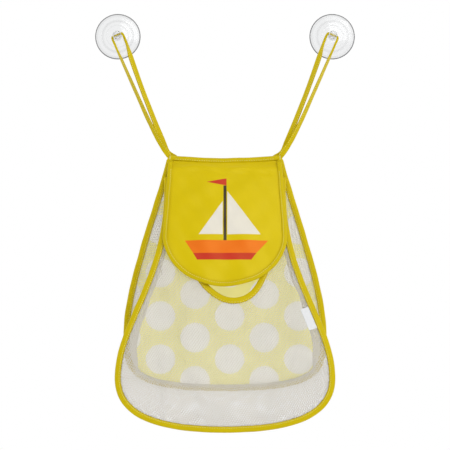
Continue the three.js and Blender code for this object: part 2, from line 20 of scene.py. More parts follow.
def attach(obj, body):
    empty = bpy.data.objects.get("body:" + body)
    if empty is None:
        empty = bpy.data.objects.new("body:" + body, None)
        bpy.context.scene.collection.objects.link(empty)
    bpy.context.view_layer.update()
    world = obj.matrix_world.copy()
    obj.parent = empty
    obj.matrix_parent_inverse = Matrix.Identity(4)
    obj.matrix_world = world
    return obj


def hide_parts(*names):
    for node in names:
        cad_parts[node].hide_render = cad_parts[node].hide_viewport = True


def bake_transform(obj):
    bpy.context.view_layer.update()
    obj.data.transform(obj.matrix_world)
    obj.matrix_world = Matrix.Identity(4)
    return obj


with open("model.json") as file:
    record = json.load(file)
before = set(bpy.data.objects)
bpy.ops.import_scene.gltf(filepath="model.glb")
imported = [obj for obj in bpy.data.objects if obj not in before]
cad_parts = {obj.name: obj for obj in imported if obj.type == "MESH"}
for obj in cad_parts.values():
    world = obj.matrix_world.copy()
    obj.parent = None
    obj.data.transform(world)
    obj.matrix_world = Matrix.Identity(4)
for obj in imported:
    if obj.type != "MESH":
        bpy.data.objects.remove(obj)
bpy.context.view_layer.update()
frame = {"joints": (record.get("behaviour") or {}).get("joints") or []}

LOG = logging.getLogger("organizer")
MM = 0.001
PROBE = 0.01
CURVE_STEPS = 240
SEAM_STEP = 1.1
BLOCK = 4000
SIDES = (("left", -1.0), ("right", 1.0))
WHITE = (1.0, 1.0, 1.0)
Array = NDArray[np.float64]
Colour = tuple[float, float, float]
Piece = bpy.types.Object
Material = bpy.types.Material
Socket = bpy.types.NodeSocket


class Body(str, Enum):
    """The bodies of the frame that pieces ride on."""

    CUPS = "wall_cups"
    BAG = "bag"
    FLAP = "flap"
    LABEL = "label"


class Slot(str, Enum):
    """The material slots of the record."""

    PVC = "clear_pvc"
    TAPE = "yellow_tape"
    THREAD = "yellow_thread"
    DOTTED = "dotted_cloth"
    NET = "net"
    PRINTED = "printed_cloth"
    LABEL = "woven_label"


# Arrays and curves


def joined(*axes: Array | float) -> Array:
    """Coordinates side by side, as points."""
    return np.stack(np.broadcast_arrays(*axes), axis=-1)


def unit(vectors: Array) -> Array:
    """Vectors of length 1."""
    return vectors / np.linalg.norm(vectors, axis=-1, keepdims=True)


def smooth(low: float, high: float, value: Array) -> Array:
    """A soft step t * t * (3 - 2 * t), with t the value's share of the way from low to high."""
    share = np.clip((value - low) / (high - low), 0.0, 1.0)
    return share * share * (3.0 - 2.0 * share)


def waves(along: Array, lengths: Sequence[float], seed: int) -> Array:
    """The mean of sines with these wavelengths and seeded phases, from about -1 to 1."""
    phases = np.random.default_rng(seed).uniform(0.0, 2.0 * np.pi, len(lengths))
    return np.sin(2.0 * np.pi * along[..., None] / np.array(lengths) + phases).mean(axis=-1)


def bell(value: Array, spread: float) -> Array:
    """A bump of height 1 at 0, exp(-(value / spread)^2)."""
    return np.exp(-((value / spread) ** 2))


def run_length(points: Array) -> Array:
    """How far along a line each of its points is."""
    return np.concatenate([[0.0], np.cumsum(np.linalg.norm(np.diff(points, axis=0), axis=1))])


def sample(at: Array, along: Array, values: Array) -> Array:
    """Vectors along a line, read off at other places."""
    return joined(*(np.interp(at, along, axis) for axis in values.T))


def bezier(*corners: tuple[float, float]) -> Array:
    """A cubic curve between two ends with two handles between them, without its last point."""
    t = np.linspace(0.0, 1.0, CURVE_STEPS, endpoint=False)[:, None]
    return np.hstack([(1 - t) ** 3, 3 * t * (1 - t) ** 2, 3 * t * t * (1 - t), t**3]) @ np.array(corners)


def catmull_rom(points: Array, steps: int) -> Array:
    """A centripetal spline through points, as a Hermite cubic over each span.

    Args:
        points: What the spline goes through, with the ends carried on by their last span.
        steps: Steps to each span.

    Returns:
        Points along the spline, both ends included.
    """
    full = np.concatenate([2 * points[:1] - points[1:2], points, 2 * points[-1:] - points[-2:-1]])
    gaps = np.sqrt(np.linalg.norm(np.diff(full, axis=0), axis=1))[:, None]
    x0, x1, x2, x3 = full[:-3], full[1:-2], full[2:-1], full[3:]
    g0, g1, g2 = gaps[:-2], gaps[1:-1], gaps[2:]
    start = g1 * ((x1 - x0) / g0 - (x2 - x0) / (g0 + g1) + (x2 - x1) / g1)
    stop = g1 * ((x2 - x1) / g1 - (x3 - x1) / (g1 + g2) + (x3 - x2) / g2)
    t = np.linspace(0.0, 1.0, steps, endpoint=False)[None, :, None]
    curve = (
        (2 * t**3 - 3 * t**2 + 1) * x1[:, None] + (t**3 - 2 * t**2 + t) * start[:, None]
        + (3 * t**2 - 2 * t**3) * x2[:, None] + (t**3 - t**2) * stop[:, None])
    return np.concatenate([curve.reshape(-1, points.shape[1]), points[-1:]])


@dataclass
class EdgePath:
    """A cloth's edge as a line of points in (x, z), with places on it by share of its length."""

    points: Array
    arc: Array = field(init=False)

    def __post_init__(self) -> None:
        """Measures the line."""
        self.arc = run_length(self.points)

    def at(self, shares: Array) -> Array:
        """Points at shares of the length."""
        return sample(shares * self.arc[-1], self.arc, self.points)

    def tangent(self, shares: Array) -> Array:
        """Directions at shares of the length."""
        step = 0.5 / CURVE_STEPS
        return unit(self.at(np.minimum(shares + step, 1.0)) - self.at(np.maximum(shares - step, 0.0)))

    def share_at_height(self, height: float) -> float:
        """The last share of the length at which the edge is still under a height."""
        last = np.flatnonzero(self.points[:, 1] < height)[-1]
        return float(self.arc[last] / self.arc[-1])

    def distance(self, x: Array, z: Array) -> Array:
        """How far places are from the nearest point of the line.

        Args:
            x: Places across.
            z: Their heights.

        Returns:
            The distances, in the places' own shape.
        """
        places = joined(x.ravel(), z.ravel())
        near = [
            np.sqrt(((block[:, None] - self.points[None]) ** 2).sum(axis=-1).min(axis=1))
            for block in np.array_split(places, max(1, len(places) // BLOCK))]
        return np.concatenate(near).reshape(x.shape)


@dataclass
class ClothSurface:
    """A cloth as a depth in front of a plane over every (x, z), with the plane turned about X."""

    depth: Callable[[Array, Array], Array]
    lean: float = 0.0
    origin: tuple[float, float, float] = (0.0, 0.0, 0.0)

    def turned(self, x: Array, y: Array, z: Array) -> Array:
        """Vectors turned from the cloth's own plane into the object's frame."""
        c, s = math.cos(self.lean), math.sin(self.lean)
        return joined(x, c * y + s * z, c * z - s * y)

    def point(self, x: Array, z: Array) -> Array:
        """Points of the cloth."""
        return self.turned(x, -self.depth(x, z), z) + np.array(self.origin)

    def normal(self, x: Array, z: Array) -> Array:
        """The way out of the cloth's front, from the slopes of its depth.

        Args:
            x: Places across.
            z: Heights.

        Returns:
            Vectors of length 1.
        """
        across = (self.depth(x + PROBE, z) - self.depth(x - PROBE, z)) / (2 * PROBE)
        upward = (self.depth(x, z + PROBE) - self.depth(x, z - PROBE)) / (2 * PROBE)
        return unit(self.turned(-across, -np.ones_like(across), -upward))


@dataclass
class Seam:
    """Frames along a cloth's edge: its place, the cloth's front, and the way out of the cloth."""

    place: Array
    front: Array
    out: Array
    along: Array = field(init=False)

    def __post_init__(self) -> None:
        """Measures the seam."""
        self.along = run_length(self.place)

    @classmethod
    def on(cls, surface: ClothSurface, path: EdgePath, shares: Array | None = None,
           side: float = 1.0) -> "Seam":
        """Frames where an edge lies on a cloth.

        Args:
            surface: The cloth.
            path: Its edge.
            shares: Where along the edge the frames are, or none for even steps.
            side: 1 where the cloth lies inside the edge, and -1 where it lies outside.

        Returns:
            The seam.
        """
        if shares is None:
            shares = np.linspace(0.0, 1.0, int(path.arc[-1] / SEAM_STEP))
        x, z = path.at(shares).T
        ahead = path.tangent(shares).T * PROBE
        place, front = surface.point(x, z), surface.normal(x, z)
        forward = surface.point(x + ahead[0], z + ahead[1]) - place
        return cls(place, front, side * unit(np.cross(forward, front)))

    def point(self, inward: Array, forward: Array) -> Array:
        """Points so far in from the edge and so far in front of the cloth, one row per frame."""
        return (
            self.place[:, None] - self.out[:, None] * np.asarray(inward)[..., None]
            + self.front[:, None] * np.asarray(forward)[..., None])

    def resampled(self, along: Array) -> "Seam":
        """The frames at other places along the seam."""
        place, front, out = (sample(along, self.along, part) for part in (self.place, self.front, self.out))
        return Seam(place, unit(front), unit(out))


# Meshes


def new_piece(name: str, points: Array, faces: Sequence[Array], uv: Array | None = None) -> Piece:
    """A smooth-shaded mesh object from points in millimetres.

    Args:
        name: The piece's name.
        points: Its points, in the object's frame.
        faces: Arrays of faces, each with faces of one size.
        uv: The cloth's own flat coordinates at each point, in millimetres.

    Returns:
        The object, at the origin.
    """
    mesh = bpy.data.meshes.new(name)
    corners = np.concatenate([block.ravel() for block in faces]).astype(np.int32)
    sizes = np.concatenate([np.full(len(block), block.shape[1]) for block in faces])
    mesh.vertices.add(len(points))
    mesh.vertices.foreach_set("co", (points * MM).astype(np.float32).ravel())
    mesh.loops.add(len(corners))
    mesh.loops.foreach_set("vertex_index", corners)
    mesh.polygons.add(len(sizes))
    mesh.polygons.foreach_set("loop_start", (np.cumsum(sizes) - sizes).astype(np.int32))
    mesh.update(calc_edges=True)
    mesh.shade_smooth()
    if uv is not None:
        layer = mesh.uv_layers.new(name="UVMap")
        layer.data.foreach_set("uv", uv[corners].astype(np.float32).ravel())
    return linked(name, mesh)


def linked(name: str, data: bpy.types.ID) -> Piece:
    """Puts a new object into the scene.

    Args:
        name: The object's name.
        data: Its mesh, lamp or camera.

    Returns:
        The object.
    """
    piece = bpy.data.objects.new(name, data)
    bpy.context.scene.collection.objects.link(piece)
    return piece


def grid_quads(rows: int, columns: int, wrap: bool = False) -> Array:
    """Quads between the points of a grid.

    Args:
        rows: Rows of points.
        columns: Points in a row.
        wrap: Whether each row closes on itself.

    Returns:
        Four point numbers for each quad.
    """
    index = np.arange(rows * columns).reshape(rows, columns)
    if wrap:
        index = np.hstack([index, index[:, :1]])
    return joined(index[:-1, :-1], index[:-1, 1:], index[1:, 1:], index[1:, :-1]).reshape(-1, 4)


def facing_out(points: Array, faces: list[Array]) -> list[Array]:
    """Faces of a closed body, all turned round if its signed volume is below zero.

    Args:
        points: The body's points.
        faces: Arrays of faces, each with faces of one size.

    Returns:
        The arrays, with every face pointing out.
    """
    volume = 0.0
    for block in faces:
        first, fan = points[block[:, :1]], points[block]
        volume += float((first * np.cross(fan[:, 1:-1], fan[:, 2:])).sum())
    return [block[:, ::-1] for block in faces] if volume < 0 else faces


def swept_piece(name: str, rings: Array, along: Array) -> Piece:
    """A closed body through rings of points, with flat ends.

    Args:
        name: The piece's name.
        rings: Points by ring and place in the ring.
        along: How far along the body each ring is, for its flat coordinates.

    Returns:
        The object.
    """
    count, size = rings.shape[:2]
    points = rings.reshape(-1, 3)
    ends = np.stack([np.arange(size)[::-1], np.arange(size) + (count - 1) * size])
    round_it = np.linalg.norm(np.diff(rings, axis=1, append=rings[:, :1]), axis=-1).mean(axis=0)
    uv = joined(along[:, None], np.cumsum(round_it) - round_it).reshape(-1, 2)
    return new_piece(name, points, facing_out(points, [grid_quads(count, size, wrap=True), ends]), uv)


def sheet_piece(name: str, middle: Array, flat: Array, thickness: float, aside: float = 0.0) -> Piece:
    """A closed sheet of even thickness about a grid of points.

    Args:
        name: The piece's name.
        middle: Points of the middle surface, by row and column.
        flat: The cloth's own flat coordinates there.
        thickness: The sheet's thickness.
        aside: How far aside the flat coordinates of the rear face lie, so that a print isn't on it.

    Returns:
        The object.
    """
    rows, columns = middle.shape[:2]
    size = rows * columns
    normal = unit(np.cross(np.gradient(middle, axis=1), np.gradient(middle, axis=0)))
    offset = normal * thickness / 2
    points = np.concatenate([middle + offset, middle - offset]).reshape(-1, 3)
    index = np.arange(size).reshape(rows, columns)
    rim = np.concatenate([index[0], index[1:, -1], index[-1, -2::-1], index[-2:0:-1, 0]])
    ahead = np.roll(rim, -1)
    quads = grid_quads(rows, columns)
    faces = [quads, quads[:, ::-1] + size, joined(ahead, rim, rim + size, ahead + size)]
    uv = np.concatenate([flat + np.array([aside, 0.0]), flat]).reshape(-1, 2)
    return new_piece(name, points, facing_out(points, faces), uv)


def dress(piece: Piece, slot: Slot, body: Body, node: str = "", finish: Material | None = None) -> Piece:
    """Gives a piece its material, chosen by its slot, and the body that it rides on.

    Args:
        piece: The piece.
        slot: Its material slot.
        body: The body.
        node: The CAD node that it stands for, if any.
        finish: Its material, if it isn't the slot's own.

    Returns:
        The piece.
    """
    piece.data.materials.append(finish or FINISHES[slot])
    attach(piece, body.value)
    if node:
        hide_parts(node)
    LOG.info("%s: %d faces on %s", piece.name, len(piece.data.polygons), body.value)
    return piece


@dataclass(frozen=True)
class Stitch:
    """A thread's short pass over the cloth: a grain that dips into the cloth at both ends."""

    length: float = 2.3
    width: float = 0.55
    height: float = 0.45
    pitch: float = 3.1
    dip: float = 0.28
    rings: int = 6
    sides: int = 6

    def piece(self, name: str, place: Array, along: Array, up: Array) -> Piece:
        """A row of stitches as one mesh.

        Args:
            name: The piece's name.
            place: The stitches' middles.
            along: The thread's direction at each.
            up: The way out of the cloth at each.

        Returns:
            The object.
        """
        share = np.linspace(-1.0, 1.0, self.rings + 2)[1:-1, None]
        turn = np.linspace(0.0, 2 * np.pi, self.sides, endpoint=False)
        girth = np.sqrt(1.0 - share**2) / 2
        grain = joined(
            share * self.length / 2, girth * np.cos(turn) * self.width,
            girth * np.sin(turn) * self.height - self.dip * share**2).reshape(-1, 3)
        basis = np.stack([along, unit(np.cross(up, along)), up], axis=1)
        points = (place[:, None] + np.einsum("vk,nkc->nvc", grain, basis)).reshape(-1, 3)
        size = self.rings * self.sides
        ends = np.stack([np.arange(self.sides), np.arange(self.sides)[::-1] + size - self.sides])
        offsets = (np.arange(len(place)) * size)[:, None, None]
        sides = (grid_quads(self.rings, self.sides, wrap=True)[None] + offsets).reshape(-1, 4)
        caps = (ends[None] + offsets).reshape(-1, self.sides)
        return new_piece(name, points, facing_out(points, [sides, caps]))


# Finishes


class Graph:
    """A node tree that is being wired."""

    def __init__(self, tree: bpy.types.NodeTree) -> None:
        """Starts from an empty tree."""
        self.tree = tree
        tree.nodes.clear()

    def add(self, kind: str, inputs: dict[Any, Any] | None = None, **settings: Any) -> bpy.types.Node:
        """A new node.

        Args:
            kind: The node's type, without the shader nodes' common start.
            inputs: What goes into its sockets, by name or number: a socket to link, or a value.
            settings: The node's own options.

        Returns:
            The node.
        """
        node = self.tree.nodes.new(kind if kind.startswith("Node") else f"ShaderNode{kind}")
        for name, value in settings.items():
            setattr(node, name, value)
        for key, value in (inputs or {}).items():
            if isinstance(value, Socket):
                self.tree.links.new(value, node.inputs[key])
            else:
                node.inputs[key].default_value = value
        return node

    def math(self, operation: str, *values: Any) -> Socket:
        """The result of a Math node on sockets or numbers."""
        return self.add("Math", dict(enumerate(values)), operation=operation).outputs[0]

    def length(self, *parts: Socket) -> Socket:
        """The length of a vector of two parts."""
        return self.math("SQRT", self.math("ADD", *(self.math("POWER", part, 2.0) for part in parts)))

    def step(self, value: Socket, low: float, high: float) -> Socket:
        """A soft step from 0 where a value is low to 1 where it is high."""
        inputs = {"Value": value, "From Min": low, "From Max": high}
        return self.add("MapRange", inputs, interpolation_type="SMOOTHSTEP").outputs[0]

    def mix(self, share: Any, low: Any, high: Any) -> Socket:
        """A blend of two colours by a share."""
        return self.add("Mix", {0: share, 6: low, 7: high}, data_type="RGBA").outputs[2]

    def flat(self) -> Socket:
        """The cloth's own flat coordinates, in millimetres."""
        return self.add("UVMap", uv_map="UVMap").outputs[0]

    def place(self) -> Socket:
        """The object's own coordinates, in metres."""
        return self.add("TexCoord").outputs["Object"]

    def split(self, vector: Socket) -> Sequence[Socket]:
        """The three parts of a vector."""
        return self.add("SeparateXYZ", {0: vector}).outputs


def opaque(colour: Colour) -> tuple[float, float, float, float]:
    """A colour with full alpha."""
    return (*colour, 1.0)


def new_material(name: str) -> tuple[Material, Graph]:
    """A material with an empty node tree.

    Args:
        name: The material's name.

    Returns:
        The material, and its tree to be wired.
    """
    material = bpy.data.materials.new(name)
    material.use_nodes = True
    return material, Graph(material.node_tree)


class Effect(str, Enum):
    """Shared effects, each a node group."""

    WEAVE = "weave"
    MOTTLE = "mottle"


def new_group(effect: Effect, output: tuple[str, str], **inputs: str) -> tuple[Graph, Any]:
    """An empty node group.

    Args:
        effect: What it is for.
        output: The name and the kind of its output.
        inputs: The kinds of its inputs, by name.

    Returns:
        The group's tree, and the sockets that give its inputs.
    """
    group = bpy.data.node_groups.new(effect.value, "ShaderNodeTree")
    sockets = [("INPUT", *given) for given in inputs.items()] + [("OUTPUT", *output)]
    for way, name, kind in sockets:
        group.interface.new_socket(name, in_out=way, socket_type=f"NodeSocket{kind}")
    graph = Graph(group)
    return graph, graph.add("NodeGroupInput").outputs


def weave_group() -> bpy.types.NodeTree:
    """Over-and-under threads: the height 0.5 + 0.5 sin(2 pi u / pitch) sin(2 pi v / pitch).

    Returns:
        A group with a flat Vector and a Pitch in, and a Height out.
    """
    graph, given = new_group(Effect.WEAVE, ("Height", "Float"), Vector="Vector", Pitch="Float")
    turns = graph.math("DIVIDE", 2 * math.pi, given["Pitch"])
    across, up = graph.split(given["Vector"])[:2]
    sines = (graph.math("SINE", graph.math("MULTIPLY", part, turns)) for part in (across, up))
    height = graph.math("MULTIPLY_ADD", graph.math("MULTIPLY", *sines), 0.5, 0.5)
    graph.add("NodeGroupOutput", {"Height": height})
    return graph.tree


def mottle_group() -> bpy.types.NodeTree:
    """Uneven dye: a colour darkened and faded by soft noise.

    Returns:
        A group with a Color, an Amount and a Scale in, and a Color out.
    """
    graph, given = new_group(
        Effect.MOTTLE, ("Color", "Color"), Color="Color", Amount="Float", Scale="Float")
    noise = graph.add("TexNoise", {"Vector": graph.place(), "Scale": given["Scale"], "Detail": 4.0})
    swing = graph.math("MULTIPLY_ADD", noise.outputs[0], 2.0, -1.0)
    value = graph.math("MULTIPLY_ADD", swing, given["Amount"], 1.0)
    dyed = graph.add("HueSaturation", {"Value": value, "Color": given["Color"]})
    graph.add("NodeGroupOutput", {"Color": dyed.outputs[0]})
    return graph.tree


EFFECTS = {Effect.WEAVE: weave_group(), Effect.MOTTLE: mottle_group()}


@dataclass(frozen=True)
class SoftFinish:
    """What cloth, tape, thread and net share: a dye, its unevenness, a shine, and light through it."""

    name: str
    colour: Colour
    roughness: float = 0.6
    shine: float = 0.1
    gloss: Colour = WHITE
    through: float = 0.0
    bleached: float = 0.0
    mottle: float = 0.06
    mottle_scale: float = 40.0
    bump: float = 0.25
    grain_scale: float = 2500.0
    grain_depth: float = 0.1

    def pattern(self, graph: Graph) -> Any:
        """The dyed colour, before its unevenness."""
        return opaque(self.colour)

    def relief(self, graph: Graph) -> tuple[Socket, float]:
        """The height of the yarns, as soft grain, and how deep it is."""
        inputs = {"Vector": graph.place(), "Scale": self.grain_scale, "Detail": 2.0}
        return graph.add("TexNoise", inputs).outputs[0], self.grain_depth

    def material(self) -> Material:
        """The finish as a material: a plain shader, and a translucent one where light comes through.

        Returns:
            The material.
        """
        material, graph = new_material(self.name)
        dyed = graph.add("Group", {
            "Color": self.pattern(graph), "Amount": self.mottle, "Scale": self.mottle_scale,
        }, node_tree=EFFECTS[Effect.MOTTLE]).outputs["Color"]
        height, depth = self.relief(graph)
        normal = graph.add(
            "Bump", {"Height": height, "Strength": self.bump, "Distance": depth * MM}).outputs[0]
        shader = graph.add("BsdfPrincipled", {
            "Base Color": dyed, "Normal": normal, "Roughness": self.roughness,
            "Specular IOR Level": self.shine, "Specular Tint": opaque(self.gloss)})
        if self.through > 0.0:
            paler = graph.mix(self.bleached, dyed, opaque(WHITE))
            glow = graph.add("BsdfTranslucent", {"Color": paler, "Normal": normal})
            shader = graph.add("MixShader", {0: self.through, 1: shader.outputs[0], 2: glow.outputs[0]})
        graph.add("OutputMaterial", {0: shader.outputs[0]})
        return material


@dataclass(frozen=True)
class ClothFinish(SoftFinish):
    """A woven cloth, tape or thread, with its weave in its own flat coordinates."""

    pitch: float = 0.7

    def relief(self, graph: Graph) -> tuple[Socket, float]:
        """The height of the woven threads, and how deep it is."""
        inputs = {"Vector": graph.flat(), "Pitch": self.pitch}
        return graph.add("Group", inputs, node_tree=EFFECTS[Effect.WEAVE]).outputs["Height"], self.pitch / 2


@dataclass(frozen=True)
class DottedFinish(ClothFinish):
    """A cloth with round dots in columns, every other column half a step lower."""

    dot_colour: Colour = (0.93, 0.92, 0.88)
    radius: float = 19.5
    column: float = 45.6
    step: float = 57.0
    shift: tuple[float, float] = (-39.5, -340.0)
    soft: float = 0.35

    def pattern(self, graph: Graph) -> Any:
        """White inside a dot of either of the two interleaved lattices.

        Args:
            graph: The tree to add to.

        Returns:
            The dyed colour.
        """
        across, up = graph.split(graph.flat())[:2]
        dots = []
        for half in (0.0, 0.5):
            u = graph.math("ADD", across, -self.shift[0] - 2 * half * self.column)
            v = graph.math("ADD", up, -self.shift[1] - half * self.step)
            u = graph.math("WRAP", u, self.column, -self.column)
            v = graph.math("WRAP", v, self.step / 2, -self.step / 2)
            dots.append(graph.step(graph.length(u, v), self.radius + self.soft, self.radius - self.soft))
        return graph.mix(graph.math("MAXIMUM", *dots), opaque(self.colour), opaque(self.dot_colour))


@dataclass(frozen=True)
class BoatFinish(ClothFinish):
    """A smooth cloth printed with a small sailboat, in the flap's own flat coordinates."""

    hull: Colour = (0.83, 0.16, 0.01)
    keel: Colour = (0.55, 0.018, 0.018)
    sail: Colour = (0.78, 0.74, 0.66)
    mast: Colour = (0.028, 0.02, 0.024)
    soft: float = 0.3

    def polygon(self, graph: Graph, corners: Sequence[tuple[float, float]]) -> Socket:
        """A mask of a convex shape: the product of its edges' soft half planes.

        Args:
            graph: The tree to add to.
            corners: The shape's corners, anticlockwise.

        Returns:
            1 inside and 0 outside.
        """
        across, up = graph.split(graph.flat())[:2]
        mask: Socket | None = None
        for (ax, ay), (bx, by) in zip(corners, [*corners[1:], corners[0]]):
            length = math.hypot(bx - ax, by - ay)
            nx, ny = (ay - by) / length, (bx - ax) / length
            side = graph.math("MULTIPLY_ADD", up, ny, -nx * ax - ny * ay)
            side = graph.math("MULTIPLY_ADD", across, nx, side)
            inside = graph.step(side, -self.soft, self.soft)
            mask = inside if mask is None else graph.math("MULTIPLY", mask, inside)
        return mask

    def pattern(self, graph: Graph) -> Any:
        """The boat's shapes laid over the ground, one after another.

        Args:
            graph: The tree to add to.

        Returns:
            The dyed colour.
        """
        colour: Any = opaque(self.colour)
        for paint, corners in (
            (self.sail, [(3, -42), (3, -101), (46, -101)]),
            (self.sail, [(-3, -56), (-34, -101), (-3, -101)]),
            (self.mast, [(-2, -113), (2, -113), (2, -34), (-2, -34)]),
            (self.keel, [(2, -24), (-24, -29), (2, -34)]),
            (self.hull, [(-52, -109), (-38, -131), (36, -131), (56, -109)]),
            (self.keel, [(-41.2, -126), (-36, -135), (34, -135), (40.6, -126)]),
        ):
            colour = graph.mix(self.polygon(graph, corners), colour, opaque(paint))
        return colour


@dataclass(frozen=True)
class PvcFinish:
    """Clear soft PVC, with painted shade along its rim, its rings and its neck: grey lines that stand in
    for the dark edges that refraction draws there.

    Each line of painted shade is a radius from the cup's axis, half its breadth, and how far it darkens the
    colour.
    """

    name: str
    across: float
    colour: Colour = (0.86, 0.865, 0.87)
    left_over: float = 0.12
    roughness: float = 0.1
    shine: float = 0.15
    ior: float = 1.45
    shade_rings: tuple[tuple[float, float, float], ...] = (
        (29.3, 1.6, 1.0), (26.8, 1.5, 0.12), (20.0, 2.6, 0.14), (14.4, 1.2, 0.1), (5.1, 0.9, 0.5))

    def material(self) -> Material:
        """The finish as a material, its colour darkened by each line of painted shade by its distance from
        the axis.

        Returns:
            The material.
        """
        material, graph = new_material(self.name)
        x, _, z = graph.split(graph.place())
        away = graph.length(graph.math("ADD", x, -self.across * MM), z)
        painted_shade: Any = 0.0
        # Painted shade: grey lines at the rim, the ring steps and the neck, in place of refraction's dark
        # edges.
        for radius, breadth, share in self.shade_rings:
            off = graph.math("ABSOLUTE", graph.math("ADD", away, -radius * MM))
            ring_shade = graph.math("MULTIPLY", graph.step(off, breadth * MM, 0.0), share)
            painted_shade = graph.math("MAXIMUM", painted_shade, ring_shade)
        red, green, blue = (self.left_over * part for part in self.colour)
        shader = graph.add("BsdfPrincipled", {
            "Base Color": graph.mix(painted_shade, opaque(self.colour), opaque((red, green, blue))),
            "Roughness": self.roughness, "Specular IOR Level": self.shine,
            "IOR": self.ior, "Transmission Weight": 1.0})
        graph.add("OutputMaterial", {0: shader.outputs[0]})
        return material


GOLD = (1.0, 0.9, 0.25)
FINISHES: dict[Slot, Material] = {
    Slot.TAPE: ClothFinish(
        "yellow_tape", (0.585, 0.45, 0.002), roughness=0.45, shine=0.3, gloss=GOLD,
        pitch=0.9, bump=0.06).material(),
    Slot.THREAD: ClothFinish("yellow_thread", (0.78, 0.70, 0.25), roughness=0.5, pitch=0.4).material(),
    Slot.NET: SoftFinish(
        "cream_net", (0.93, 0.90, 0.85), roughness=0.32, shine=0.5, through=0.18,
        mottle_scale=25.0).material(),
    Slot.DOTTED: DottedFinish(
        "dotted_cloth", (0.93, 0.89, 0.38), through=0.72, bleached=0.35, pitch=0.5, bump=0.1).material(),
    Slot.PRINTED: BoatFinish(
        "printed_cloth", (0.66, 0.50, 0.001), roughness=0.36, shine=0.4, gloss=GOLD,
        pitch=0.45, bump=0.1).material(),
    Slot.LABEL: ClothFinish(
        "woven_label", (0.80, 0.81, 0.82), roughness=0.5, pitch=0.5, bump=0.3).material(),
}


# What the sub-assemblies share


@dataclass(frozen=True)
class Sewing:
    """Cloth, tape, and the room that a folded tape gives to the sheets in it."""

    cloth: float = 0.5
    sheet: float = 0.8
    tape: float = 0.8
    width: float = 8.0
    gap: float = 0.3
    tuck: float = 3.2

    @property
    def half(self) -> float:
        """Half the thickness of a binding round one sheet."""
        return self.sheet / 2 + self.gap + self.tape

    @property
    def twin(self) -> float:
        """The thickness of a binding's side with a second sheet in it."""
        return self.half + self.sheet + self.gap

    @property
    def root(self) -> float:
        """How far in from the edge a sheet leaves its binding."""
        return self.width + self.gap + self.sheet / 2

    @property
    def web(self) -> float:
        """How far behind the seam a sheet is clear of the binding."""
        return self.twin + self.gap + self.sheet / 2


SEWING = Sewing()
STITCH = Stitch()
JOINTS = {joint["name"]: joint for joint in frame["joints"]}
HINGE_DEPTH = -JOINTS["flap_lift"]["pos_m"][1] / MM
SEAM_Z = JOINTS["flap_lift"]["pos_m"][2] / MM
TOP_Z = SEAM_Z + SEWING.width + SEWING.gap
TOP_HALF = 70.0
TOP_SAG = 3.4
REAR_DEPTH = 6.0
LEAN = math.radians(16.9)


